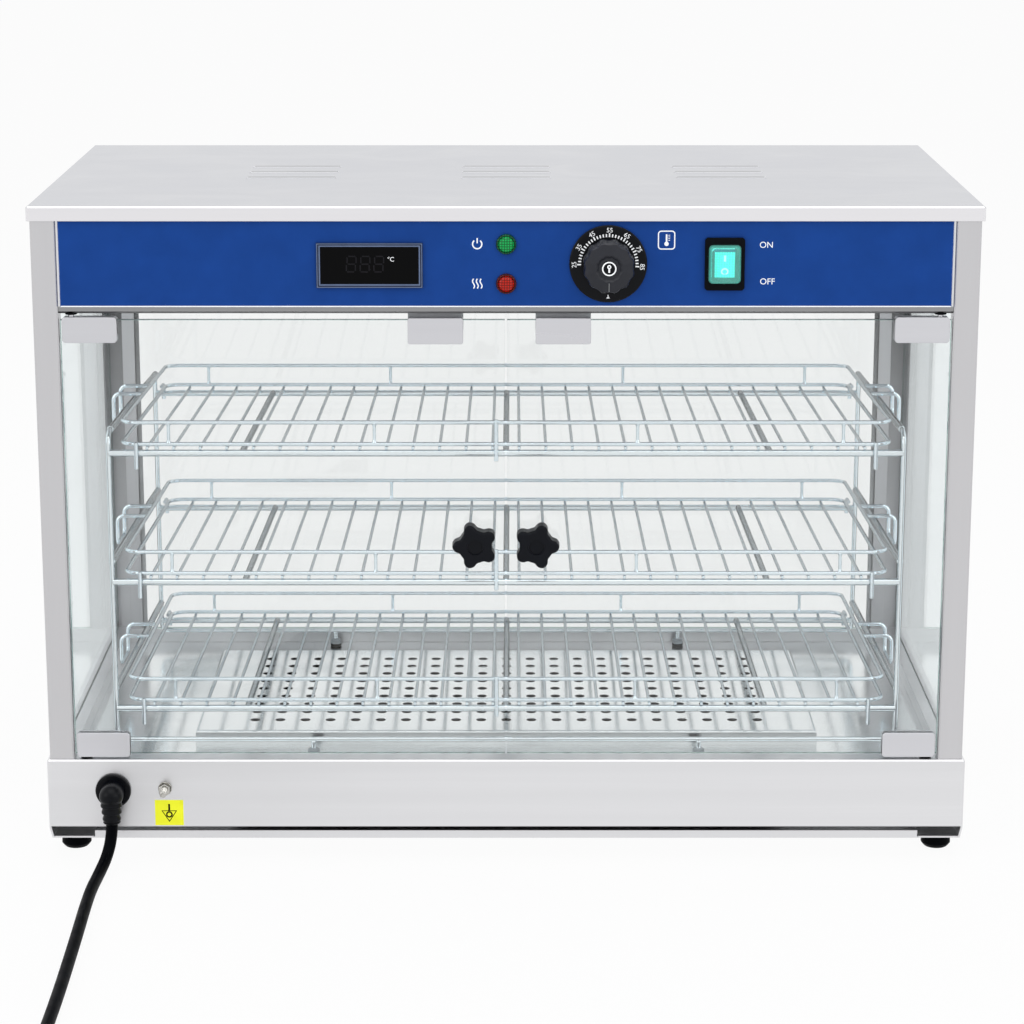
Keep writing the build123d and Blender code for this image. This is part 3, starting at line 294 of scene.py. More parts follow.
class CaseControls(bpy.types.PropertyGroup):
    """Look of the lamps, the switch and the dial"""

    power: colour_setting("Power lamp", "Colour of the power lens", (0.004, 0.27, 0.060))
    heat: colour_setting("Heat lamp", "Colour of the heat lens", (0.36, 0.010, 0.004))
    boot: colour_setting("Switch boot", "Colour of the soft boot", (0.28, 0.89, 0.76))
    lowest: IntProperty(name="Lowest mark", description="First number on the dial", default=25)
    interval: IntProperty(name="Interval", description="Degrees between two numbers", default=10)
    marks: IntProperty(name="Marks", description="Numbers on the dial", default=7, min=2)
    upper_word: StringProperty(name="Upper word", description="Word beside the switch's top", default="ON")
    lower_word: StringProperty(name="Lower word", description="Word beside its foot", default="OFF")


class CaseStage(bpy.types.PropertyGroup):
    """Light and ground"""

    ground: colour_setting("Ground", "Colour of the ground", (0.95, 0.95, 0.95))
    overhead: power_setting("Overhead", "Power of the top light", 24.0)
    sides: power_setting("Sides", "Power of each side light", 8.0)
    ambient: FloatProperty(name="Ambient", description="Strength of the room's light", default=0.46, min=0)


# Modelling steps shared by the operators


def clear():
    """Nothing is selected, so the next operator acts only on its own piece."""
    if bpy.context.mode != "OBJECT":
        bpy.ops.object.mode_set(mode="OBJECT")
    bpy.ops.object.select_all(action="DESELECT")


def activate(piece):
    """Only this piece is selected and active."""
    clear()
    piece.select_set(True)
    bpy.context.view_layer.objects.active = piece


def named(name):
    """The newest object, named, with its place and turn put into its mesh."""
    piece = bpy.context.object
    piece.name = name
    piece.data.name = name
    bpy.ops.object.transform_apply(location=True, rotation=True, scale=True)
    return piece


def block(name, low, high):
    """A box between two corners."""
    clear()
    low, high = Vector(low), Vector(high)
    bpy.ops.mesh.primitive_cube_add(size=1, location=(low + high) / 2, scale=high - low)
    return named(name)


def pick(piece, kind, test):
    """Edit mode with only the faces, edges or vertices selected that pass the test."""
    activate(piece)
    bpy.ops.object.mode_set(mode="EDIT")
    bpy.ops.mesh.select_mode(type=kind)
    bpy.ops.mesh.select_all(action="DESELECT")
    shape = bmesh.from_edit_mesh(piece.data)
    shape.verts.ensure_lookup_table()
    for item in {"FACE": shape.faces, "EDGE": shape.edges, "VERT": shape.verts}[kind]:
        item.select_set(test(item))
    shape.select_flush_mode()
    bmesh.update_edit_mesh(piece.data)


def done():
    """Back to object mode."""
    bpy.ops.object.mode_set(mode="OBJECT")


def softened(piece, kind, test, offset, segments):
    """The edges or points that pass the test rounded by a bevel."""
    pick(piece, kind, test)
    affect = {"EDGE": "EDGES", "VERT": "VERTICES"}[kind]
    bpy.ops.mesh.bevel(offset=offset, segments=segments, affect=affect)
    done()


def scaled(piece, kind, test, ratios, centre=(0, 0, 0)):
    """The faces or points that pass the test scaled about a centre."""
    pick(piece, kind, test)
    bpy.ops.transform.resize(value=ratios, center_override=centre)
    done()


def grown(rise, ratio):
    """The selected face pulled up by the rise and scaled about the upright axis."""
    bpy.ops.mesh.extrude_region_move(TRANSFORM_OT_translate={"value": (0, 0, rise)})
    bpy.ops.transform.resize(value=(ratio, ratio, 1), center_override=(0, 0, 0))


def middle(edge):
    """The middle of an edge."""
    return (edge.verts[0].co + edge.verts[1].co) / 2


def rounded(piece, width, segments=2, limit=30.0):
    """Every edge sharper than the limit eased by a bevel."""
    activate(piece)
    bpy.ops.object.modifier_add(type="BEVEL")
    bevel = piece.modifiers[-1]
    bevel.width = width
    bevel.segments = segments
    bevel.limit_method = "ANGLE"
    bevel.angle_limit = radians(limit)
    bpy.ops.object.modifier_apply(modifier=bevel.name)
    return piece


def outward(piece):
    """Doubles merged and every face turned outwards."""
    pick(piece, "VERT", lambda vertex: True)
    bpy.ops.mesh.remove_doubles(threshold=1e-6)
    bpy.ops.mesh.normals_make_consistent(inside=False)
    done()
    return piece


def aimed(direction, place):
    """The matrix that stands a piece drawn upwards along a direction at a place."""
    turn = Vector(direction).to_track_quat("Z", "Y").to_matrix().to_4x4()
    return Matrix.Translation(Vector(place)) @ turn


def turned(name, foot, direction, profile, sides=40):
    """A turned piece, grown ring by ring along a profile of (distance, radius)."""
    clear()
    distance, radius = profile[0]
    bpy.ops.mesh.primitive_circle_add(
        vertices=sides, radius=radius, fill_type="NGON", location=(0, 0, distance)
    )
    bpy.ops.object.transform_apply(location=True)
    bpy.ops.object.mode_set(mode="EDIT")
    bpy.ops.mesh.select_all(action="SELECT")
    for next_distance, next_radius in profile[1:]:
        grown(next_distance - distance, next_radius / radius)
        distance, radius = next_distance, next_radius
    done()
    bpy.context.object.matrix_world = aimed(direction, foot)
    return outward(named(name))


def rod(name, start, end, diameter, sides=12):
    """A straight bar between two points, its ends eased."""
    clear()
    start, end = Vector(start), Vector(end)
    length = (end - start).length
    bpy.ops.mesh.primitive_cylinder_add(vertices=sides, radius=diameter / 2, depth=length)
    bpy.context.object.matrix_world = aimed(end - start, (start + end) / 2)
    return rounded(named(name), min(diameter * 0.12, length * 0.2), 1)


def path(points, bend=0.0, segments=6, closed=False):
    """A line of edges through the points, its corners bevelled round."""
    clear()
    bpy.ops.mesh.primitive_plane_add(size=0.001)
    bpy.ops.object.mode_set(mode="EDIT")
    bpy.ops.mesh.select_mode(type="VERT")
    bpy.ops.mesh.select_all(action="SELECT")
    bpy.ops.mesh.merge(type="CENTER")
    points = [Vector(point) for point in points]
    bpy.ops.transform.translate(value=points[0])
    for before, after in zip(points, points[1:]):
        bpy.ops.mesh.extrude_vertices_move(TRANSFORM_OT_translate={"value": after - before})
    done()
    line = bpy.context.object
    if closed:
        pick(line, "VERT", lambda vertex: len(vertex.link_edges) == 1)
        bpy.ops.mesh.edge_face_add()
        done()
    if bend:
        pick(line, "VERT", lambda vertex: len(vertex.link_edges) == 2)
        bpy.ops.mesh.bevel(offset=bend, offset_type="OFFSET", segments=segments, affect="VERTICES")
        done()
    return line


def wire(name, points, diameter, bend=0.0, segments=6, closed=False, resolution=4):
    """A bent wire with a round section and capped ends."""
    line = path(points, bend, segments, closed)
    activate(line)
    bpy.ops.object.convert(target="CURVE")
    line = bpy.context.object
    line.data.bevel_depth = diameter / 2
    line.data.bevel_resolution = resolution
    line.data.use_fill_caps = True
    bpy.ops.object.convert(target="MESH")
    return outward(named(name))


def joined(name, pieces):
    """Several pieces as one."""
    clear()
    for piece in pieces:
        piece.select_set(True)
    bpy.context.view_layer.objects.active = pieces[0]
    bpy.ops.object.join()
    return named(name)


def copied(piece, name, matrix=Matrix.Identity(4)):
    """A copy with its own mesh, moved by the matrix."""
    activate(piece)
    bpy.ops.object.duplicate()
    bpy.context.object.matrix_world = matrix
    return named(name)


def mirrored(piece, name):
    """A copy on the other side of the case."""
    return outward(copied(piece, name, Matrix.Scale(-1, 4, RIGHT)))


def both_sides(piece):
    """The piece and its mirror image."""
    return [piece, mirrored(piece, piece.name + "_mirror")]


def settled(piece, matrix):
    """The piece moved by the matrix, which goes into its mesh."""
    piece.matrix_world = matrix
    activate(piece)
    return named(piece.name)


def row(piece, step, count):
    """The piece repeated in a straight row."""
    activate(piece)
    bpy.ops.object.modifier_add(type="ARRAY")
    array = piece.modifiers[-1]
    array.use_relative_offset = False
    array.use_constant_offset = True
    array.constant_offset_displace = step
    array.count = count
    bpy.ops.object.modifier_apply(modifier=array.name)
    return piece


def cut(piece, cutter):
    """The cutter's volume taken out of the piece."""
    activate(piece)
    bpy.ops.object.modifier_add(type="BOOLEAN")
    boolean = piece.modifiers[-1]
    boolean.object = cutter
    boolean.operation = "DIFFERENCE"
    boolean.solver = "EXACT"
    bpy.ops.object.modifier_apply(modifier=boolean.name)
    bpy.data.objects.remove(cutter)
    return piece


def whole_copy(node, name):
    """A packed node's shape as one merged mesh with whole flat faces."""
    clear()
    piece = bpy.data.objects.new(name, frame["nodes"][node].data.copy())
    bpy.context.scene.collection.objects.link(piece)
    activate(piece)
    bpy.ops.mesh.customdata_custom_splitnormals_clear()
    bpy.ops.object.mode_set(mode="EDIT")
    bpy.ops.mesh.select_all(action="SELECT")
    bpy.ops.mesh.remove_doubles(threshold=2e-6)
    bpy.ops.mesh.dissolve_limited(angle_limit=radians(0.6))
    bpy.ops.mesh.mark_sharp(clear=True)
    done()
    return piece


def circle(x, z, radius, count):
    """Points of a circle in the plane of a front, as (x, z)."""
    angles = [2 * pi * number / count for number in range(count)]
    return [(x + radius * cos(angle), z + radius * sin(angle)) for angle in angles]


def faced(piece, names, test):
    """The second finish on the faces that pass the test, the first on the others."""
    piece.data.materials.clear()
    for name in names:
        piece.data.materials.append(finish(name))
    for face in piece.data.polygons:
        face.material_index = 1 if test(face) else 0
    return piece


def dress(piece, body, names, nodes=(), smooth=35.0):
    """Materials, smooth shading, the body it rides on and the nodes it stands for."""
    activate(piece)
    if piece.type == "MESH":
        bpy.ops.object.shade_smooth_by_angle(angle=radians(smooth))
        bpy.ops.object.modifier_add(type="WEIGHTED_NORMAL")
        piece.modifiers[-1].keep_sharp = True
        bpy.ops.object.modifier_apply(modifier=piece.modifiers[-1].name)
        if len(piece.data.materials) != len(names):
            piece.data.materials.clear()
    for number, name in enumerate(names):
        if number < len(piece.data.materials):
            piece.data.materials[number] = finish(name)
        else:
            piece.data.materials.append(finish(name))
    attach(piece, body)
    if nodes:
        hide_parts(*nodes)
    clear()
    return piece


def eased(node, name, width, segments, body, look, limit=30.0):
    """A packed node's shape with eased edges and one finish, on its body."""
    piece = rounded(whole_copy(node, name), width, segments, limit)
    return dress(piece, body, [look], [node])


# Shader node groups


def fed(tree, node, inputs):
    """The node with its inputs set or linked."""
    for socket, value in inputs.items():
        if isinstance(value, bpy.types.NodeSocket):
            tree.links.new(value, node.inputs[socket])
        else:
            node.inputs[socket].default_value = value
    return node


def add(tree, kind, inputs=None, **settings):
    """A new node with its settings made and its inputs set or linked."""
    node = tree.nodes.new("ShaderNode" + kind)
    for key, value in settings.items():
        setattr(node, key, value)
    return fed(tree, node, inputs or {})


def mixed(tree, factor, first, second):
    """Two colours mixed by a mask; the sockets are the node's colour pair."""
    node = add(tree, "Mix", {0: factor, 6: first, 7: second}, data_type="RGBA")
    return node.outputs[2]


def shade(colour, amount=1.0):
    """A colour made lighter or darker, with its alpha."""
    return (*[min(1.0, channel * amount) for channel in colour], 1.0)


def new_group(name, inputs, outputs):
    """An empty shader group with its sockets, and its two end nodes."""
    tree = bpy.data.node_groups.new(name, "ShaderNodeTree")
    for side, sockets in (("INPUT", inputs), ("OUTPUT", outputs)):
        for label, kind in sockets:
            tree.interface.new_socket(name=label, in_out=side, socket_type="NodeSocket" + kind)
    return tree, tree.nodes.new("NodeGroupInput").outputs, tree.nodes.new("NodeGroupOutput").inputs


def grain_group():
    """Brushed grain: fine streaks along one direction and slow bands across the sheet."""
    sockets = (("Vector", "Vector"), ("Stretch", "Vector"), ("Fineness", "Float"))
    tree, given, out = new_group("brushed_grain", sockets, (("Height", "Float"), ("Bands", "Float")))
    spread = add(tree, "VectorMath", {0: given["Vector"], 1: given["Stretch"]}, operation="MULTIPLY")
    fine = add(tree, "TexNoise", {"Vector": spread.outputs[0], "Scale": given["Fineness"], "Detail": 5.0})
    coarse = add(tree, "Math", {0: given["Fineness"], 1: 0.08}, operation="MULTIPLY")
    bands = add(tree, "TexNoise", {"Vector": spread.outputs[0], "Scale": coarse.outputs[0], "Detail": 3.0})
    tree.links.new(fine.outputs[0], out["Height"])
    tree.links.new(bands.outputs[0], out["Bands"])


def wear_group():
    """Edge wear and painted edge light: a mask of the convex and concave edges, broken up by noise."""
    sockets = (("Vector", "Vector"), ("Radius", "Float"), ("Amount", "Float"))
    tree, given, out = new_group("edge_wear_and_light", sockets, (("Wear and light", "Float"),))
    soft = add(tree, "Bevel", {"Radius": given["Radius"]}, samples=4)
    plain = add(tree, "NewGeometry")
    same = add(tree, "VectorMath", {0: soft.outputs[0], 1: plain.outputs["Normal"]}, operation="DOT_PRODUCT")
    edge = add(tree, "Math", {0: 1.0, 1: same.outputs["Value"]}, operation="SUBTRACT")
    patches = add(tree, "TexNoise", {"Vector": given["Vector"], "Scale": 160.0, "Detail": 3.0})
    broken = add(tree, "Math", {0: edge.outputs[0], 1: patches.outputs[0]}, operation="MULTIPLY")
    strong = add(
        tree, "Math", {0: broken.outputs[0], 1: given["Amount"]}, operation="MULTIPLY", use_clamp=True
    )
    tree.links.new(strong.outputs[0], out["Wear and light"])


def handling_group():
    """Handling: roughness that wanders with smears and fine specks."""
    sockets = (("Vector", "Vector"), ("Size", "Float"), ("Low", "Float"), ("High", "Float"))
    tree, given, out = new_group("handling", sockets, (("Roughness", "Float"), ("Smears", "Float")))
    inputs = {"Vector": given["Vector"], "Scale": given["Size"], "Detail": 4.0, "Distortion": 0.6}
    smears = add(tree, "TexNoise", inputs)
    ranged = add(tree, "MapRange", {0: smears.outputs[0], 1: 0.3, 2: 0.7, 3: given["Low"], 4: given["High"]})
    tree.links.new(ranged.outputs[0], out["Roughness"])
    tree.links.new(smears.outputs[0], out["Smears"])


def pebble_group():
    """Moulded skin: small rounded pebbles and a slow mottle."""
    sockets = (("Vector", "Vector"), ("Fineness", "Float"))
    tree, given, out = new_group("moulded_skin", sockets, (("Height", "Float"), ("Mottle", "Float")))
    cells = add(
        tree, "TexVoronoi", {"Vector": given["Vector"], "Scale": given["Fineness"]}, feature="SMOOTH_F1"
    )
    slow = add(tree, "Math", {0: given["Fineness"], 1: 0.06}, operation="MULTIPLY")
    mottle = add(tree, "TexNoise", {"Vector": given["Vector"], "Scale": slow.outputs[0], "Detail": 3.0})
    tree.links.new(cells.outputs["Distance"], out["Height"])
    tree.links.new(mottle.outputs[0], out["Mottle"])


GROUPS = {
    "brushed_grain": grain_group,
    "edge_wear_and_light": wear_group,
    "handling": handling_group,
    "moulded_skin": pebble_group,
}


def grouped(tree, name, inputs):
    """A shared group placed in a material with its own values."""
    if name not in bpy.data.node_groups:
        GROUPS[name]()
    node = tree.nodes.new("ShaderNodeGroup")
    node.node_tree = bpy.data.node_groups[name]
    return fed(tree, node, inputs).outputs


# Materials


def blank(name, **sockets):
    """A material with one Principled shader, its plain sockets set, and the object's coordinates."""
    material = bpy.data.materials.new(name)
    material.use_nodes = True
    tree = material.node_tree
    tree.nodes.clear()
    shader = add(tree, "BsdfPrincipled", sockets)
    add(tree, "OutputMaterial", {"Surface": shader.outputs[0]})
    place = add(tree, "TexCoord").outputs["Object"]
    return material, tree, shader, place


def surfaced(tree, shader, tone, handling, height, distance):
    """The tone, the handling's roughness and a fine height joined to the shader."""
    bump = add(tree, "Bump", {"Height": height, "Distance": distance, "Strength": 1.0})
    tree.links.new(tone, shader.inputs["Base Color"])
    tree.links.new(handling["Roughness"], shader.inputs["Roughness"])
    tree.links.new(bump.outputs[0], shader.inputs["Normal"])


def metal(
    name,
    colour,
    stretch=(1, 1, 1),
    low=0.28,
    high=0.40,
    fineness=700.0,
    depth=0.00003,
    contrast=0.12,
    rim=1.0,
    # The edge tone: above 1 a painted highlight, below 1 a painted dark reflection, mixed with edge wear.
    edge=1.35,
    dusk=None,
):
    """Metal with a grain, bands of tone, smears, and edges in another tone: edge wear and painted edge light.

    The rim is its tone seen edge on; below 1 it paints the edges darker, as painted dark reflections.
    The dusk is painted shade by height: a height in shade, a height in full light and the share of the tone
    that is left in the shade.
    """
    sockets = {"Metallic": 1.0, "Specular Tint": (rim, rim, rim, 1.0)}
    material, tree, shader, place = blank(name, **sockets)
    grain = grouped(tree, "brushed_grain", {"Vector": place, "Stretch": stretch, "Fineness": fineness})
    handling = grouped(tree, "handling", {"Vector": place, "Size": 14.0, "Low": low, "High": high})
    wear_and_light = grouped(tree, "edge_wear_and_light", {"Vector": place, "Radius": 0.0006, "Amount": 5.0})
    banded = mixed(tree, grain["Bands"], shade(colour, 1 - contrast), shade(colour, 1 + contrast))
    tone = mixed(tree, grain["Height"], banded, shade(colour, 1.0))
    worn_and_lit = mixed(tree, wear_and_light["Wear and light"], tone, shade(colour, edge))
    if dusk:
        shaded, lit, left = dusk
        height = add(tree, "SeparateXYZ", {"Vector": place}).outputs["Z"]
        light = add(tree, "MapRange", {0: height, 1: shaded, 2: lit, 3: 0.0, 4: 1.0})
        worn_and_lit = mixed(tree, light.outputs[0], shade(colour, left), worn_and_lit)
    surfaced(tree, shader, worn_and_lit, handling, grain["Height"], depth)
    return material


def moulded(name, colour, low=0.38, high=0.55, fineness=1500.0, depth=0.00004, paler=1.8, gloss=0.07):
    """Moulded plastic or rubber with a pebbled skin, mottle, and paler edges that are rubbed wear and painted
    highlights.
    """
    material, tree, shader, place = blank(name, **{"Specular IOR Level": gloss})
    skin = grouped(tree, "moulded_skin", {"Vector": place, "Fineness": fineness})
    handling = grouped(tree, "handling", {"Vector": place, "Size": 60.0, "Low": low, "High": high})
    wear_and_light = grouped(tree, "edge_wear_and_light", {"Vector": place, "Radius": 0.0005, "Amount": 3.0})
    tone = mixed(tree, skin["Mottle"], shade(colour, 0.8), shade(colour, 1.2))
    worn_and_lit = mixed(tree, wear_and_light["Wear and light"], tone, shade(colour, paler))
    surfaced(tree, shader, worn_and_lit, handling, skin["Height"], depth)
    return material


def glassy(name, tint, low=0.0, high=0.02, index=1.45):
    """Clear glass that lets light through to what stands behind it, with faint smears."""
    sockets = {"Metallic": 0.0, "Transmission Weight": 1.0, "IOR": index, "Roughness": 0.0}
    material, tree, shader, place = blank(name, **sockets)
    handling = grouped(tree, "handling", {"Vector": place, "Size": 9.0, "Low": low, "High": high})
    tone = mixed(tree, handling["Smears"], shade(tint, 0.995), shade(tint, 1.005))
    tree.links.new(tone, shader.inputs["Base Color"])
    tree.links.new(handling["Roughness"], shader.inputs["Roughness"])
    clear_pass = add(tree, "BsdfTransparent", {"Color": shade(tint, 0.98)})
    ray = add(tree, "LightPath")
    rays = {0: ray.outputs["Is Shadow Ray"], 1: ray.outputs["Is Diffuse Ray"]}
    soft = add(tree, "Math", rays, operation="MAXIMUM")
    both = add(tree, "MixShader", {0: soft.outputs[0], 1: shader.outputs[0], 2: clear_pass.outputs[0]})
    tree.links.new(both.outputs[0], tree.nodes["Material Output"].inputs["Surface"])
    return material


def lens(name, colour, glow, fineness=560.0, lines=0.2):
    """Translucent lamp lens with a grid of small facets parted by darker lines."""
    material, tree, shader, place = blank(name, **{"Specular IOR Level": 0.25, "Emission Strength": glow})
    flat = add(tree, "VectorMath", {0: place, 1: (1, 0, 1)}, operation="MULTIPLY").outputs[0]
    facets = add(tree, "TexVoronoi", {"Vector": flat, "Scale": fineness}, feature="F1", distance="CHEBYCHEV")
    facets.inputs["Randomness"].default_value = 0.0
    handling = grouped(tree, "handling", {"Vector": place, "Size": 200.0, "Low": 0.18, "High": 0.32})
    border = add(tree, "MapRange", {0: facets.outputs["Distance"], 1: 0.26, 2: 0.46, 3: 0.0, 4: 1.0})
    tone = mixed(tree, border.outputs[0], shade(colour, 1.3), shade(colour, lines))
    tree.links.new(tone, shader.inputs["Emission Color"])
    surfaced(tree, shader, tone, handling, facets.outputs["Distance"], 0.0003)
    return material


def soft_boot(name, colour):
    """Soft see-through boot: milky, slightly rough, with a fine skin and a faint glow of painted light."""
    # The emission is painted light: the boot glows faintly though it is no lamp.
    sockets = {"Metallic": 0.0, "Transmission Weight": 0.88, "IOR": 1.4, "Emission Strength": 0.12}
    material, tree, shader, place = blank(name, **sockets)
    skin = grouped(tree, "moulded_skin", {"Vector": place, "Fineness": 700.0})
    handling = grouped(tree, "handling", {"Vector": place, "Size": 150.0, "Low": 0.04, "High": 0.10})
    tone = mixed(tree, skin["Mottle"], shade(colour, 0.75), shade(colour, 1.15))
    tree.links.new(tone, shader.inputs["Emission Color"])
    surfaced(tree, shader, tone, handling, skin["Height"], 0.00001)
    return material


def enamel(name, colour):
    """Printed and lacquered sheet: a satin coat over fine orange peel."""
    material, tree, shader, place = blank(name, **{"Specular IOR Level": 0.08})
    skin = grouped(tree, "moulded_skin", {"Vector": place, "Fineness": 900.0})
    handling = grouped(tree, "handling", {"Vector": place, "Size": 25.0, "Low": 0.30, "High": 0.42})
    wear_and_light = grouped(tree, "edge_wear_and_light", {"Vector": place, "Radius": 0.0010, "Amount": 8.0})
    tone = mixed(tree, skin["Mottle"], shade(colour, 0.85), shade(colour, 1.18))
    # Pale edges: painted highlights along the plate's edges, mixed with edge wear.
    worn_and_lit = mixed(tree, wear_and_light["Wear and light"], tone, (0.80, 0.84, 0.90, 1.0))
    surfaced(tree, shader, worn_and_lit, handling, skin["Height"], 0.00002)
    return material


def ink(name, colour, glow=0.0):
    """Screen-printed ink with an uneven coat; its glow is painted light that makes it brighter than the light
    on it.
    """
    material = moulded(name, colour, 0.45, 0.6, fineness=2600.0, depth=0.00001, paler=1.0)
    shader = material.node_tree.nodes["Principled BSDF"]
    shader.inputs["Emission Color"].default_value = shade(colour)
    shader.inputs["Emission Strength"].default_value = glow
    return material


# Painted shade by height: the height in shade, the height in full light and the share left in the shade
lip_shade = (fascia_low.z - 0.0002, fascia_low.z + 0.0006, 0.42)
post_shade = (0.41, 0.12, 0.08)

# Directions of the brushing
ALONG_X = (0.02, 1.0, 1.0)
ALONG_Z = (1.0, 1.0, 0.02)


def finishes():
    """Every finish by name: the function that makes it and its values."""
    colours = bpy.context.scene.case_finish
    controls = bpy.context.scene.case_controls
    grain = colours.grain
    hidden = {"low": 0.35, "high": 0.5, "depth": grain}
    # Edge tones below 1 paint dark reflection lines along the edges of sheets, fittings and the floor.
    sheet = {"depth": grain, "edge": 0.55}
    fitting = {"low": 0.25, "high": 0.36, "fineness": 1100.0, "depth": 0.6 * grain, "edge": 0.6}
    plating = {"low": 0.08, "high": 0.18, "depth": 0.00001}
    mirror = {"low": 0.13, "high": 0.22, "edge": 0.6}
    dull = {"low": 0.3, "high": 0.5, "fineness": 500.0}
    smooth_grip = {"low": 0.30, "high": 0.46, "fineness": 2000.0}
    smooth_black = {"low": 0.24, "high": 0.38, "fineness": 2500.0, "depth": 0.00001}
    polished = {"low": 0.04, "high": 0.10, "depth": 0.000002}
    dry = {"low": 0.36, "high": 0.52, "gloss": 0.03}
    return {
        "level_steel": (metal, {"colour": colours.steel, "stretch": ALONG_X, **sheet}),
        "upright_steel": (metal, {"colour": colours.upright, "stretch": ALONG_Z, **sheet}),
        "lid_steel": (metal, {"colour": colours.lid, "stretch": ALONG_X, "contrast": 0.05, **sheet}),
        "lid_edge_steel": (metal, {"colour": (0.80, 0.79, 0.81), "stretch": ALONG_X, **sheet}),
        "lip_steel": (metal, {"colour": colours.steel, "stretch": ALONG_X, "dusk": lip_shade, **sheet}),
        "inner_steel": (metal, {"colour": colours.upright, "stretch": ALONG_Z, "dusk": post_shade, **sheet}),
        "hood_steel": (metal, {"colour": (0.43, 0.435, 0.45), "stretch": ALONG_X, **sheet}),
        "floor_steel": (metal, {"colour": (0.90, 0.93, 0.94), "stretch": ALONG_X, **mirror}),
        "shadowed_steel": (metal, {"colour": (0.006, 0.006, 0.006), "stretch": ALONG_X, **hidden}),
        "satin_fitting": (metal, {"colour": (0.64, 0.64, 0.67), "stretch": ALONG_X, **fitting}),
        # A rim below 1 darkens the edges of wires and plated parts, as painted dark reflections.
        "plated_wire": (metal, {"colour": (0.81, 0.89, 0.96), "fineness": 420.0, "rim": 0.5, **plating}),
        "plated_rail": (metal, {"colour": (0.84, 0.90, 0.94), "fineness": 420.0, "rim": 0.36, **plating}),
        "bright_plate": (metal, {"colour": (0.50, 0.49, 0.46), "fineness": 900.0, "rim": 0.1, **plating}),
        "element_metal": (metal, {"colour": (0.10, 0.08, 0.07), **dull}),
        "copper": (metal, {"colour": (0.62, 0.33, 0.20), **dull}),
        "pane_glass": (glassy, {"tint": colours.glass}),
        "side_pane": (glassy, {"tint": (0.90, 0.945, 0.958), "index": 1.12}),
        "pane_edge": (glassy, {"tint": (0.30, 0.52, 0.47), "low": 0.05, "high": 0.12}),
        "fascia_blue": (enamel, {"colour": colours.fascia}),
        "green_lens": (lens, {"colour": controls.power, "glow": 0.38}),
        "green_rim": (lens, {"colour": (0.004, 0.09, 0.035), "glow": 0.0}),
        "red_lens": (lens, {"colour": controls.heat, "glow": 0.38}),
        "red_rim": (lens, {"colour": (0.10, 0.005, 0.004), "glow": 0.0}),
        "lit_mark": (ink, {"colour": (0.95, 0.95, 0.95), "glow": 2.4}),
        "switch_boot": (soft_boot, {"colour": controls.boot}),
        "lit_rocker": (lens, {"colour": (0.22, 0.92, 0.86), "glow": 0.8, "lines": 0.7}),
        "black_plastic": (moulded, {"colour": (0.0025, 0.0030, 0.0045)}),
        "satin_plastic": (moulded, {"colour": (0.0020, 0.0026, 0.0045), "gloss": 0.14, **smooth_black}),
        "grip_plastic": (moulded, {"colour": (0.012, 0.0135, 0.021), "gloss": 0.38, **smooth_grip}),
        "knob_plastic": (moulded, {"colour": (0.0028, 0.0038, 0.0070), "gloss": 0.14, **smooth_grip}),
        # The bezel's paler edges are painted highlights along its bevels.
        "bezel_plastic": (moulded, {"colour": (0.035, 0.045, 0.085), "paler": 3.0, **smooth_black}),
        "bezel_face": (moulded, {"colour": (0.19, 0.25, 0.40), "paler": 1.5, **smooth_black}),
        "grey_plastic": (moulded, {"colour": (0.30, 0.31, 0.32), "gloss": 0.4}),
        "magnet_case": (moulded, {"colour": (0.55, 0.56, 0.58), "gloss": 0.4}),
        "display_glass": (moulded, {"colour": (0.0010, 0.0010, 0.0014), **polished}),
        "black_rubber": (moulded, {"colour": (0.0012, 0.0016, 0.0028), **dry}),
        "clear_rubber": (moulded, {"colour": (0.46, 0.49, 0.52), "gloss": 0.3, "low": 0.2, "high": 0.36}),
        "unlit_segment": (ink, {"colour": (0.016, 0.015, 0.018)}),
        # The glow of the white ink and of the yellow label is painted light.
        "white_ink": (ink, {"colour": (0.90, 0.92, 0.94), "glow": 0.4}),
        "black_ink": (ink, {"colour": (0.006, 0.006, 0.006)}),
        "yellow_label": (ink, {"colour": (0.80, 0.82, 0.035), "glow": 0.42}),
    }


def finish(name):
    """The named finish's material, made the first time it is asked for."""
    label = name + "_finish"
    if label not in bpy.data.materials:
        maker, values = finishes()[name]
        maker(label, **values)
    return bpy.data.materials[label]


# Cabinet


def slit_hood(name, x, y):
    """A pressed hood over one vent slot: a low mound that opens to the back."""
    low = (x - vent_length / 2, y - vent_hood * 0.6, lid_high.z - 0.0004)
    hood = block(name, low, (x + vent_length / 2, y + vent_hood * 0.4, lid_high.z + vent_rise))
    pick(hood, "EDGE", lambda edge: middle(edge).z > lid_high.z and middle(edge).y < y - vent_hood * 0.5)
    bpy.ops.mesh.bevel(offset=vent_rise * 2.4, offset_type="WIDTH", segments=4, affect="EDGES")
    done()
    scaled(hood, "FACE", lambda face: face.normal.z > 0.99, (0.96, 1, 1), (x, y, lid_high.z))
    return hood


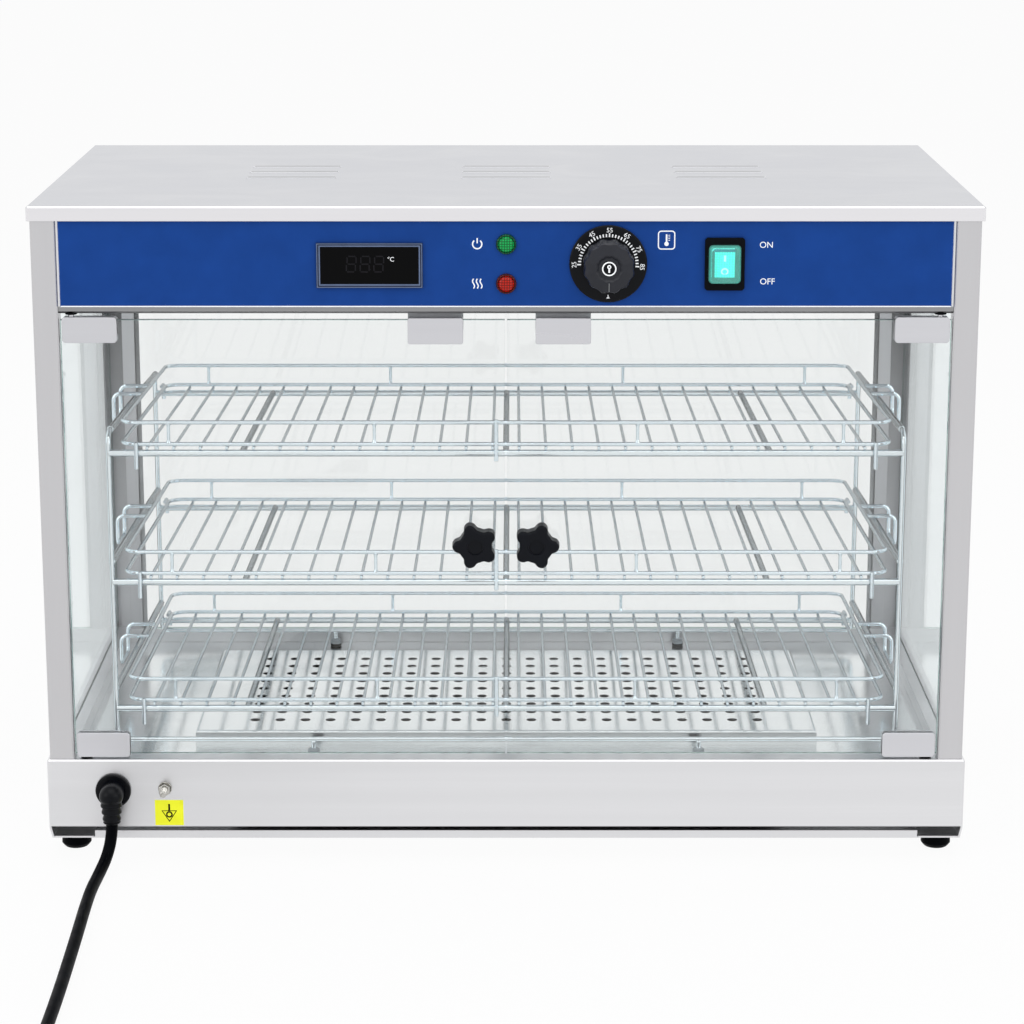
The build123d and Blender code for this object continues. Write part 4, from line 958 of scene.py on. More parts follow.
class CASE_OT_cabinet(bpy.types.Operator):
    """Lid, header, posts, base and floor in brushed sheet"""

    bl_idname = "case.cabinet"
    bl_label = "Cabinet"

    def execute(self, context):
        sheets = (
            # The header's front lip is painted darker below the fascia, as painted shade.
            ("header_front", "lip_steel", "stainless", 0.0003, 2),
            ("header_panels", "level_steel", "stainless", 0.0003, 2),
            ("front_posts", "upright_steel", "stainless", 0.0003, 2),
            ("rear_glass_strips", "upright_steel", "stainless", 0.0002, 2),
            ("base_shell", "level_steel", "stainless", 0.0005, 3),
            ("floor_pan", "floor_steel", "floor_steel", 0.0002, 1),
            ("bottom_plate", "level_steel", "stainless", 0.0003, 2),
            ("heater_tray", "shadowed_steel", "floor_steel", 0.0002, 1),
        )
        for node, look, slot, width, segments in sheets:
            eased(node, node + "_sheet", width, segments, "cabinet", look, 25.0)
        self.lid()
        self.rear_posts()
        self.fascia()
        self.vents()
        self.feet()
        return {"FINISHED"}

    def lid(self):
        """The folded lid, its front fold painted lighter than its top, as painted light."""
        lid = rounded(whole_copy("lid", "lid_sheet"), 0.00015, 1, 25.0)
        names = ["lid_steel", "lid_edge_steel"]
        faced(lid, names, lambda face: face.normal.y < -0.7)
        dress(lid, "cabinet", names, ["lid"])

    def rear_posts(self):
        """The rear posts, with painted shade on the faces that look into the case: darker towards the top,
        under the header.
        """
        posts = rounded(whole_copy("rear_posts", "rear_posts_sheet"), 0.0003, 2, 25.0)
        names = ["upright_steel", "inner_steel"]
        faced(posts, names, lambda face: face.normal.y < -0.7)
        dress(posts, "cabinet", names, ["rear_posts"])

    def fascia(self):
        """The printed control plate, up to behind the lid's fold, with a painted highlight in white ink along
        its lower edge.
        """
        top = Vector((fascia_high.x, fascia_high.y, fascia_high.z + fascia_tuck))
        plate = block("control_plate", fascia_low, top)
        pick(plate, "FACE", lambda face: face.normal.y < -0.99)
        bpy.ops.mesh.inset(thickness=fascia_highlight_width)
        done()
        rounded(plate, 0.0003, 2)
        # The white strip along the lower edge is a painted highlight where the plate's edge catches the
        # light.
        names = ["fascia_blue", "white_ink"]
        highlight_top = fascia_low.z + fascia_highlight_width
        faced(plate, names, lambda face: face.normal.y < -0.9 and face.center.z < highlight_top)
        dress(plate, "cabinet", names, ["fascia_plate"])

    def vents(self):
        """Nine hoods in three groups over the lid's slots."""
        middle_y = (lid_low.y + lid_high.y) / 2 + vent_offset
        hoods = []
        for column in (-1, 0, 1):
            for number in range(vent_rows):
                y = middle_y + (number - (vent_rows - 1) / 2) * vent_pitch
                hoods.append(slit_hood("hood", column * vent_spacing, y))
        vents = rounded(joined("lid_vent_hoods", hoods), 0.0002, 2)
        # The hoods' darker steel is painted shade of the slots under them.
        dress(vents, "cabinet", ["hood_steel"], smooth=60.0)

    def feet(self):
        """Rubber feet: a waisted cup on a broad rounded sole."""
        low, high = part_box("feet")
        places = [
            Vector((x, y, 0))
            for x in (low.x + foot_radius, high.x - foot_radius)
            for y in (low.y + foot_radius, high.y - foot_radius)
        ]
        profile = [
            (0.0000, foot_sole - 0.0022),
            (0.0004, foot_sole - 0.0010),
            (0.0014, foot_sole),
            (0.0032, foot_radius),
            (0.0060, foot_radius - 0.0002),
            (0.0072, foot_radius - 0.0011),
            (0.0084, foot_radius - 0.0013),
            (0.0096, foot_radius - 0.0006),
            (0.0120, foot_radius),
        ]
        first = turned("foot", places[0], UP, profile, 36)
        others = [copied(first, "foot", Matrix.Translation(place - places[0])) for place in places[1:]]
        dress(joined("rubber_feet", [first] + others), "cabinet", ["black_rubber"], ["feet"])


class CASE_OT_glazing(bpy.types.Operator):
    """Side, rear and door panes with ground edges"""

    bl_idname = "case.glazing"
    bl_label = "Glazing"

    def execute(self, context):
        panes = (
            ("side_glass", "cabinet", RIGHT, "side_pane"),
            ("rear_glass", "cabinet", TO_BACK, "pane_glass"),
            ("door_glass_left", "door_left", TO_BACK, "pane_glass"),
            ("door_glass_right", "door_right", TO_BACK, "pane_glass"),
        )
        for node, body, across, look in panes:
            pane = rounded(whole_copy(node, node + "_pane"), 0.0003, 1)
            names = [look, "pane_edge"]
            faced(pane, names, lambda face: abs(face.normal.dot(across)) < 0.99)
            dress(pane, body, names, [node], smooth=20.0)
        return {"FINISHED"}


class CASE_OT_heater(bpy.types.Operator):
    """Perforated cover, element and sensing bulb"""

    bl_idname = "case.heater"
    bl_label = "Heater"

    def execute(self, context):
        self.cover()
        self.element()
        bulb = whole_copy("thermostat_bulb", "sensing_bulb")
        dress(bulb, "cabinet", ["copper"], ["thermostat_bulb"], smooth=60.0)
        return {"FINISHED"}

    def cover(self):
        """A folded plate over the heater with round holes in straight rows."""
        plate = block("heater_cover_plate", cover_low, cover_high)
        softened(plate, "EDGE", lambda edge: middle(edge).z > cover_high.z - 1e-5, cover_bend, 6)
        pick(plate, "FACE", lambda face: face.normal.z < -0.99)
        bpy.ops.mesh.inset(thickness=cover_sheet)
        lift = cover_high.z - cover_low.z - cover_sheet
        bpy.ops.mesh.extrude_region_move(TRANSFORM_OT_translate={"value": (0, 0, lift)})
        done()
        centre = (cover_low + cover_high) / 2
        x = centre.x - hole_pitch_x * (hole_columns - 1) / 2
        y = centre.y - hole_pitch_y * (hole_rows - 1) / 2
        clear()
        bpy.ops.mesh.primitive_cylinder_add(
            vertices=hole_sides,
            radius=hole_radius,
            depth=4 * cover_sheet,
            location=(x, y, cover_high.z),
        )
        punch = named("punch")
        row(punch, (hole_pitch_x, 0, 0), hole_columns)
        row(punch, (0, hole_pitch_y, 0), hole_rows)
        cut(plate, punch)
        dress(plate, "cabinet", ["floor_steel"], ["heater_cover"])

    def element(self):
        """The tubular element in its flat zigzag."""
        low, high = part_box("heating_element")
        z = (low.z + high.z) / 2
        left = low.x + element_pitch / 2
        right = high.x - element_diameter / 2
        first = low.y + element_diameter / 2
        points = [(low.x, first, z)]
        for turn in range(element_passes - 1):
            x = right if turn % 2 == 0 else left
            y = first + turn * element_pitch
            points += [(x, y, z), (x, y + element_pitch, z)]
        points.append((low.x, first + (element_passes - 1) * element_pitch, z))
        tube = wire("element_tube", points, element_diameter, element_bend, 8)
        dress(tube, "cabinet", ["element_metal"], ["heating_element"], smooth=60.0)


# Controls


def on_fascia(x, z):
    """A point on the fascia's face."""
    return Vector((x, fascia_face, z))


class CASE_OT_display(bpy.types.Operator):
    """Panel thermometer with its dark window and unlit digits"""

    bl_idname = "case.display"
    bl_label = "Display"

    def execute(self, context):
        self.bezel()
        self.window()
        self.digits()
        return {"FINISHED"}

    def bezel(self):
        """A slim frame with a sunk window seat, on the housing behind the fascia."""
        half = Vector((display_width / 2, 0, display_height / 2))
        centre = Vector((display_x, 0, display_z))
        low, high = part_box("display_module")
        frame_low = Vector((centre.x - half.x, low.y, centre.z - half.z))
        frame_high = Vector((centre.x + half.x, fascia_face, centre.z + half.z))
        bezel = block("display_frame", frame_low, frame_high)
        pick(bezel, "FACE", lambda face: face.normal.y < -0.99)
        bpy.ops.mesh.inset(thickness=bezel_flat)
        bpy.ops.mesh.inset(thickness=bezel_slope, depth=-bezel_sink)
        bpy.ops.mesh.inset(thickness=(display_width - window_width) / 2 - bezel_flat - bezel_slope)
        bpy.ops.mesh.extrude_region_move(TRANSFORM_OT_translate={"value": (0, window_seat, 0)})
        done()
        rounded(bezel, 0.0003, 3)
        margin = Vector((0.0019, 0, 0.0019))
        back = Vector((frame_high.x, high.y, frame_high.z))
        housing = block("display_housing", frame_low + margin, back - margin)
        housing.data.transform(Matrix.Translation((0, 0.0019, 0)))
        rounded(housing, 0.0005, 2)
        piece = joined("display_body", [bezel, housing])
        names = ["bezel_plastic", "bezel_face"]
        faced(piece, names, lambda face: face.normal.y < -0.97)
        dress(piece, "cabinet", names, ["display_module"])

    def window(self):
        """The dark lens in its seat."""
        low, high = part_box("display_window")
        lens_block = rounded(block("display_lens", low, high), 0.0003, 2)
        dress(lens_block, "cabinet", ["display_glass"], ["display_window"])

    def digits(self):
        """Three unlit digits as faint bars on the window, and the unit at their right."""
        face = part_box("display_window")[0].y
        width = digit_width - segment_gap
        height = digit_height / 2 - segment_gap
        bars = []
        for number in range(digit_count):
            x = display_x + digit_start + number * digit_pitch
            for level in (-1, 0, 1):
                bars.append(self.bar(x, level * digit_height / 2, width, segment_width, face))
            for side in (-1, 1):
                side_x = x + side * digit_width / 2
                for level in (-1, 1):
                    bars.append(self.bar(side_x, level * digit_height / 4, segment_width, height, face))
        dress(joined("display_digits", bars), "cabinet", ["unlit_segment"])
        place = Vector((display_x + unit_right, face, display_z + unit_rise))
        unit = lettered("display_unit", "°C", unit_size, place)
        dress(unit, "cabinet", ["white_ink"])

    def bar(self, x, rise, width, height, face):
        """One segment of a leaning digit, a film on the window."""
        x, z = x + rise * digit_lean, display_z + digit_rise + rise
        low = (x - width / 2, face - 0.00005, z - height / 2)
        return block("segment", low, (x + width / 2, face + 0.0001, z + height / 2))


def lettered(name, words, size, place, turn=0.0):
    """Printed words as a thin raised film that faces the viewer, turned in its own plane."""
    clear()
    bpy.ops.object.text_add()
    text = bpy.context.object
    text.data.body = words
    text.data.size = size
    text.data.align_x = "CENTER"
    text.data.align_y = "CENTER"
    text.data.extrude = 0.00004
    bpy.ops.object.convert(target="MESH")
    facing = Matrix.Rotation(pi / 2, 4, "X") @ Matrix.Rotation(turn, 4, "Z")
    bpy.context.object.matrix_world = Matrix.Translation(place) @ facing
    return named(name)


def stroke(name, points, width, face, bend=0.0, closed=False):
    """A printed line through points given as (x, z), flattened onto a face."""
    line = wire(name, [(x, face, z) for x, z in points], width, bend, 8, closed, 2)
    activate(line)
    bpy.ops.object.mode_set(mode="EDIT")
    bpy.ops.mesh.select_all(action="SELECT")
    bpy.ops.transform.resize(value=(1, 0.12, 1), center_override=(0, face, 0))
    done()
    return line


class CASE_OT_lamps(bpy.types.Operator):
    """Power and heat lamps with faceted lenses"""

    bl_idname = "case.lamps"
    bl_label = "Lamps"

    def execute(self, context):
        for node, z, colour in (
            ("power_lamp", power_lamp_z, "green"),
            ("heat_lamp", heat_lamp_z, "red"),
        ):
            low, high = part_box(node)
            flange = (high.x - low.x) / 2 + 0.0001
            barrel = turned(
                node + "_barrel",
                (lamp_x, high.y, z),
                TO_VIEWER,
                [(0, 0.0044), (0.001, 0.005), (high.y - fascia_face - 0.0002, 0.005)],
                32,
            )
            dress(barrel, "cabinet", ["black_plastic"])
            rim = [
                (0, flange - 0.0002),
                (0.0004, flange),
                (0.0014, flange - 0.0001),
                (0.0020, flange - 0.0006),
                (0.0021, flange - 0.0012),
                (0.0012, flange - 0.0017),
            ]
            ring = turned(node + "_ring", on_fascia(lamp_x, z), TO_VIEWER, rim, 48)
            dress(ring, "cabinet", [colour + "_rim"], smooth=45.0)
            reach = fascia_face - low.y
            dome = [
                (0, flange - 0.0016),
                (0.0014, flange - 0.0016),
                (reach * 0.62, flange - 0.0021),
                (reach * 0.84, flange - 0.0029),
                (reach * 0.96, flange - 0.0042),
                (reach, 0.0008),
            ]
            cap = turned(node + "_lens", on_fascia(lamp_x, z), TO_VIEWER, dome, 48)
            dress(cap, "cabinet", [colour + "_lens"], [node], smooth=45.0)
        return {"FINISHED"}


class CASE_OT_dial(bpy.types.Operator):
    """Temperature dial: numbered plate, scalloped grip, cap and shaft"""

    bl_idname = "case.dial"
    bl_label = "Dial"

    def execute(self, context):
        self.plate()
        self.scale(context.scene.case_controls)
        self.grip()
        self.cap()
        return {"FINISHED"}

    def plate(self):
        """The fixed black disc with an eased rim."""
        r = dial_plate_radius
        profile = [
            (0, r - 0.0004),
            (0.0006, r),
            (0.0018, r),
            (0.0023, r - 0.0005),
            (dial_plate_depth, r - 0.0012),
        ]
        plate = turned("dial_disc", on_fascia(dial_x, dial_z), TO_VIEWER, profile, 96)
        dress(plate, "cabinet", ["satin_plastic"], ["dial_plate"])
        eased("thermostat_body", "thermostat_case", 0.0005, 2, "cabinet", "grey_plastic")

    def scale(self, settings):
        """Ticks round the plate with a number at every fifth one, and a mark at the foot."""
        face = fascia_face - dial_plate_depth
        prints = []
        for number in range(scale_parts * (settings.marks - 1) + 1):
            angle = scale_start + scale_step * number / scale_parts
            across, up = cos(angle), sin(angle)
            numbered = number % scale_parts == 0
            reach = (tick_start, long_tick_end if numbered else tick_end)
            ends = [(dial_x + r * across, dial_z + r * up) for r in reach]
            prints.append(stroke("tick", ends, tick_width, face))
            if numbered:
                place = Vector((dial_x + number_radius * across, face, dial_z + number_radius * up))
                value = settings.lowest + settings.interval * number // scale_parts
                prints.append(lettered("number", str(value), number_size, place, angle - pi / 2))
        zero = dial_z - zero_mark_drop
        prints.append(stroke("zero", [(dial_x - 0.001, zero), (dial_x + 0.001, zero)], 0.0006, face))
        prints.append(stroke("zero", [(dial_x, zero + 0.0022), (dial_x, zero)], 0.0005, face))
        dress(joined("dial_scale", prints), "cabinet", ["white_ink"])

    def grip(self):
        """A ring of points drawn in and rounded to scallops, then grown forward and dished."""
        low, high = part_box("dial_grip")
        points, radius = 2 * grip_lobes, grip_radius + 0.0007
        clear()
        bpy.ops.mesh.primitive_circle_add(vertices=points, radius=radius, fill_type="NGON")
        grip = named("dial_knob")
        scaled(grip, "VERT", lambda vertex: vertex.index % 2 == 0, (grip_root, grip_root, 1))
        softened(grip, "VERT", lambda vertex: True, 0.0019, 5)
        length = high.y - low.y
        steps = (
            (length * 0.78, 0.99),
            (length * 0.08, 0.99),
            (length * 0.04, 0.97),
            (length * 0.10, 0.60),
            (0.0, 0.92),
            (-0.0016, 0.80),
        )
        pick(grip, "FACE", lambda face: True)
        for rise, ratio in steps:
            grown(rise, ratio)
        done()
        outward(settled(grip, aimed(TO_VIEWER, (dial_x, high.y, dial_z))))
        dress(grip, "dial", ["grip_plastic"], ["dial_grip"], smooth=32.0)
        ends = [(dial_x, high.y - length * 0.905, dial_z - 0.0160), (dial_x, low.y, dial_z - 0.0100)]
        pointer = wire("dial_pointer", ends, 0.0005)
        dress(pointer, "dial", ["grey_plastic"])
        eased("dial_shaft", "dial_spindle", 0.0003, 1, "dial", "bright_plate")

    def cap(self):
        """The cap in the dish, with a dot and a bar in a ring printed on it."""
        low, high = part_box("dial_cap")
        r, reach = cap_radius, high.y - low.y
        profile = [
            (0, r - 0.0003),
            (0.0003, r),
            (reach - 0.0006, r),
            (reach - 0.0002, r - 0.0003),
            (reach, r - 0.0009),
        ]
        cap = turned("dial_button", (dial_x, high.y, dial_z), TO_VIEWER, profile, 48)
        dress(cap, "dial", ["satin_plastic"], ["dial_cap"])
        ring = circle(dial_x, dial_z, cap_ring_radius, 32)
        bulb = circle(dial_x, dial_z + 0.0013, cap_bulb_radius, 16)
        prints = [
            stroke("cap_ring", ring, 0.0009, low.y, closed=True),
            stroke("cap_bulb", bulb, 0.0008, low.y, closed=True),
            stroke("cap_stem", [(dial_x, dial_z - 0.0026), (dial_x, dial_z + 0.0002)], 0.0012, low.y),
        ]
        dress(joined("dial_button_print", prints), "dial", ["white_ink"])


class CASE_OT_switch(bpy.types.Operator):
    """Rocker switch under its soft boot"""

    bl_idname = "case.switch"
    bl_label = "Switch"

    def execute(self, context):
        eased("switch_body", "switch_frame", 0.0004, 3, "cabinet", "black_plastic")
        self.boot()
        self.rocker()
        return {"FINISHED"}

    def boot(self):
        """A soft shell: a tapered box opened at the back, thickened and well rounded."""
        low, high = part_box("switch_cover")
        shell = block("switch_boot_shell", low, high)
        front = (switch_x, low.y, switch_z)
        scaled(shell, "FACE", lambda face: face.normal.y < -0.99, (0.87, 1, 0.89), front)
        softened(shell, "EDGE", lambda edge: abs(edge.verts[0].co.y - edge.verts[1].co.y) > 1e-4, 0.0030, 6)
        softened(shell, "EDGE", lambda edge: middle(edge).y < low.y + 1e-5, 0.0016, 5)
        pick(shell, "FACE", lambda face: face.normal.y > 0.99)
        bpy.ops.mesh.inset(thickness=0.0011)
        hollow = (0, -(high.y - low.y - 0.0012), 0)
        bpy.ops.mesh.extrude_region_move(TRANSFORM_OT_translate={"value": hollow})
        bpy.ops.transform.resize(value=(0.93, 1, 0.95), center_override=front)
        done()
        piece = outward(named("switch_boot"))
        dress(piece, "cabinet", ["switch_boot"], ["switch_cover"], smooth=50.0)

    def rocker(self):
        """The rocker with a hollowed face, and the marks I and O."""
        eased("rocker", "rocker_paddle", 0.0005, 3, "rocker", "lit_rocker")
        axle = Matrix.Translation((switch_x, rocker_axle_y, switch_z))
        bar = block("mark_on", (-0.0007, -0.0041, 0.0026), (0.0007, -0.0030, 0.0068))
        ring = stroke("mark_off", circle(0, -0.0048, 0.0021, 20), 0.0010, -0.0036, closed=True)
        marks = joined("rocker_marks", [bar, ring])
        settled(marks, axle @ Matrix.Rotation(rocker_tip, 4, "X"))
        dress(marks, "rocker", ["lit_mark"])


class CASE_OT_prints(bpy.types.Operator):
    """Generic marks printed on the fascia, and the earth label on the base"""

    bl_idname = "case.prints"
    bl_label = "Printed marks"

    def execute(self, context):
        self.words(context.scene.case_controls)
        self.symbols()
        self.earth_label()
        return {"FINISHED"}

    def words(self, settings):
        """The words beside the switch."""
        upper = lettered("word_upper", settings.upper_word, word_size, on_fascia(*upper_word_place))
        lower = lettered("word_lower", settings.lower_word, word_size, on_fascia(*lower_word_place))
        dress(joined("switch_words", [upper, lower]), "cabinet", ["white_ink"])

    def symbols(self):
        """Plain signs for power, heat and temperature."""
        face = fascia_face
        prints = []
        x, z, r = lamp_sign_x, power_lamp_z, power_ring_radius
        arc = [
            (x + r * sin(angle), z + r * cos(angle))
            for angle in (radians(40 + 280 * number / 16) for number in range(17))
        ]
        prints.append(stroke("power_ring", arc, sign_line, face))
        prints.append(stroke("power_bar", [(x, z + 0.0006), (x, z + 0.0042)], sign_line, face))
        z = heat_lamp_z
        for column in (-1, 0, 1):
            wave_x, foot = x + column * wave_pitch, z - wave_height / 2
            wave = [
                (wave_x + wave_swing * sin(2 * pi * number / 8), foot + wave_height * number / 8)
                for number in range(9)
            ]
            prints.append(stroke("heat_wave", wave, thin_line, face, bend=0.0003))
        x, z = thermometer_x, thermometer_z
        half_x, half_z = thermometer_half
        corners = [
            (x + across * half_x, z + up * half_z)
            for across, up in ((-1, -1), (1, -1), (1, 1), (-1, 1))
        ]
        prints.append(stroke("sign_frame", corners, thin_line, face, bend=0.0020, closed=True))
        prints.append(stroke("sign_stem", [(x, z - 0.0024), (x, z + 0.0040)], 0.0011, face))
        bulb = turned("sign_bulb", (x, face, z - 0.0026), TO_VIEWER, [(0, 0.0015), (0.00006, 0.0015)], 24)
        prints.append(bulb)
        for number in range(4):
            mark_z = z - 0.0002 + number * 0.0012
            prints.append(stroke("sign_tick", [(x + 0.0012, mark_z), (x + 0.0024, mark_z)], 0.0004, face))
        dress(joined("fascia_signs", prints), "cabinet", ["white_ink"])

    def earth_label(self):
        """A yellow label with the earth sign under the stud."""
        low = (label_x - label_width / 2, case_front - 0.0001, label_z - label_height / 2)
        high = (label_x + label_width / 2, case_front + 0.0001, label_z + label_height / 2)
        label = rounded(block("earth_label", low, high), 0.00005, 1)
        dress(label, "cabinet", ["yellow_label"])
        face = case_front - 0.0001
        top, tip, half = label_z + 0.0014, label_z - 0.0066, 0.0052
        triangle = [(label_x - half, top), (label_x + half, top), (label_x, tip)]
        ring = circle(label_x, top - 0.0028, 0.0019, 24)
        prints = [
            stroke("earth_bar", [(label_x, top), (label_x, top + 0.0052)], 0.0014, face),
            stroke("earth_triangle", triangle, 0.0012, face, closed=True),
            stroke("earth_ring", ring, 0.0011, face, closed=True),
        ]
        dress(joined("earth_sign", prints), "cabinet", ["black_ink"])


# Doors


class CASE_OT_doors(bpy.types.Operator):
    """Pivot clips, strike plates, knobs and their screws, bushes and magnets"""

    bl_idname = "case.doors"
    bl_label = "Door fittings"

    def execute(self, context):
        left = self.knob(-1)
        right = self.knob(1)
        for knob, name in ((left, "left"), (right, "right")):
            body = "door_" + name
            for node, label, width, segments, look in (
                ("door_fittings_", "door_plates_", 0.00045, 3, "satin_fitting"),
                ("knob_screw_", "knob_bolt_", 0.0004, 2, "bright_plate"),
            ):
                eased(node + name, label + name, width, segments, body, look)
            dress(knob, body, ["knob_plastic"], ["door_knob_" + name], smooth=40.0)
        eased("pivot_bushes", "door_pivot_bushes", 0.0002, 2, "cabinet", "black_plastic")
        eased("door_magnets", "door_catches", 0.0005, 2, "cabinet", "magnet_case")
        return {"FINISHED"}

    def knob(self, side):
        """A five-pointed outline, rounded at tips and roots, grown into a head on its hub."""
        hand = "left" if side < 0 else "right"
        low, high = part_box("door_knob_" + hand)
        clear()
        bpy.ops.mesh.primitive_circle_add(
            vertices=6 * knob_lobes,
            radius=knob_reach,
            fill_type="NGON",
            rotation=(0, 0, radians(-18 * side - 12)),
        )
        knob = named("door_grip_" + hand)
        root = knob_reach * knob_root * 1.01
        scaled(knob, "VERT", lambda vertex: vertex.index % 6 > 2, (knob_root, knob_root, 1))
        softened(knob, "VERT", lambda vertex: vertex.index % 6 in (0, 2), 0.0030, 8)
        softened(knob, "VERT", lambda vertex: vertex.co.length < root, 0.0012, 5)
        pick(knob, "FACE", lambda face: True)
        grown(knob_depth, 0.985)
        done()
        outward(knob)
        softened(knob, "EDGE", lambda edge: middle(edge).z > knob_depth - 1e-5, 0.0021, 6)
        softened(knob, "EDGE", lambda edge: middle(edge).z < 1e-5, 0.0010, 3)
        hollow = [
            (0, knob_recess + 0.0004),
            (0.0010, knob_recess),
            (0.0028, knob_recess - 0.0002),
            (0.0030, knob_recess - 0.0012),
        ]
        cut(knob, turned("dish", (0, 0, knob_depth + 0.001), DOWN, hollow))
        length = high.y - low.y - knob_depth
        stem = [
            (0, knob_hub - 0.0004),
            (0.0004, knob_hub),
            (length * 0.6, knob_hub),
            (length + 0.0004, knob_hub + 0.0012),
        ]
        knob = joined(knob.name, [knob, turned("hub", (0, 0, -length), UP, stem)])
        return settled(knob, aimed(TO_VIEWER, (side * knob_x, high.y - length, knob_z)))


# Wire rack and shelves


def rail_height(level, y):
    """Height of a level's rails at depth y: the levels fall towards the back."""
    return level - (y - rack_front) * tan(rack_tilt)


class CASE_OT_rack(bpy.types.Operator):
    """The lift-out rack: bent frames, rails, runners and boots"""

    bl_idname = "case.rack"
    bl_label = "Rack"

    def execute(self, context):
        wires = context.scene.case_wires
        self.frames(wires)
        self.rails(wires)
        self.boots()
        return {"FINISHED"}

    def frames(self, wires):
        """Front and rear frames, each one bent wire with its two legs under it."""
        top = rack_levels[-1] + side_rail_rise
        ends = (rack_front + bend_run, top - bend_run * tan(rack_tilt))
        front = [
            (-rack_side, *ends),
            (-rack_side, rack_front, top),
            (-rack_side, rack_front, base_rail_z),
            (rack_side, rack_front, base_rail_z),
            (rack_side, rack_front, top),
            (rack_side, *ends),
        ]
        rear_top = rail_height(top, rack_back)
        rear = [
            (-rack_side, rack_back, rear_top),
            (-rack_side, rack_back, base_rail_z),
            (rack_side, rack_back, base_rail_z),
            (rack_side, rack_back, rear_top),
        ]
        pieces = [
            wire("front_frame", front, wires.post, front_bend),
            wire("rear_frame", rear, wires.post, rear_bend),
        ]
        for x in (-leg_x, leg_x):
            for y in (rack_front, rack_back):
                pieces.append(rod("leg", (x, y, boot_low + 0.0017), (x, y, base_rail_z), wires.post))
                pieces.append(self.weld((x, y, base_rail_z - wires.post / 2), wires.post * 0.62))
        dress(joined("rack_frame", pieces), "rack", ["plated_rail"], ["rack_posts"], 60.0)

    def weld(self, place, radius):
        """A small flattened bead where two wires meet."""
        profile = [(-0.5, 0.5), (-0.35, 0.85), (0.0, 1.0), (0.35, 0.85), (0.5, 0.5)]
        return turned("weld", place, UP, [(radius * z, radius * r) for z, r in profile], 12)

    def rails(self, wires):
        """Rails from side to side, side rails, and the supports that carry the shelves."""
        pieces = []
        for level in rack_levels:
            for y in (rack_front, rack_back):
                z = rail_height(level, y)
                pieces.append(rod("rail", (-rack_side, y, z), (rack_side, y, z), wires.rail, 16))
            start, end = rack_front, rack_back
            if level == rack_levels[-1]:
                start, end = rack_front + bend_run, rack_back + wires.rail
            side_level = level + side_rail_rise
            points = [(rack_side, y, rail_height(side_level, y)) for y in (start, end)]
            pieces += both_sides(rod("side_rail", *points, wires.rail, 16))
            lift = (wires.rail - wires.support) / 2
            for x in (-support_spacing, 0, support_spacing):
                points = [(x, y, rail_height(level + lift, y)) for y in (rack_front, rack_back)]
                pieces.append(rod("support", *points, wires.support, 16))
        dress(joined("rack_bars", pieces), "rack", ["plated_rail"], ["rack_rails"], 60.0)

    def boots(self):
        """Rubber boots, pale, their lower part painted black as painted contact shadow, with a ring at the
        top of each.
        """
        height = boot_high - boot_low
        profile = [
            (0, boot_radius - 0.0008),
            (0.0005, boot_radius),
            (height * boot_shadow_share, boot_radius),
            (height * 0.55, boot_radius),
            (height * 0.70, boot_radius - 0.0005),
            (height * 0.85, boot_radius - 0.0001),
            (height, boot_radius - 0.0012),
        ]
        boots = [
            turned("boot", (x, y, boot_low), UP, profile, 28)
            for x in (-leg_x, leg_x)
            for y in (rack_front, rack_back)
        ]
        piece = joined("rack_leg_boots", boots)
        # The black lower part is painted contact shadow under each pale boot.
        names = ["clear_rubber", "black_rubber"]
        faced(piece, names, lambda face: face.center.z < boot_low + height * boot_shadow_share)
        dress(piece, "rack", names, ["rack_boots"])


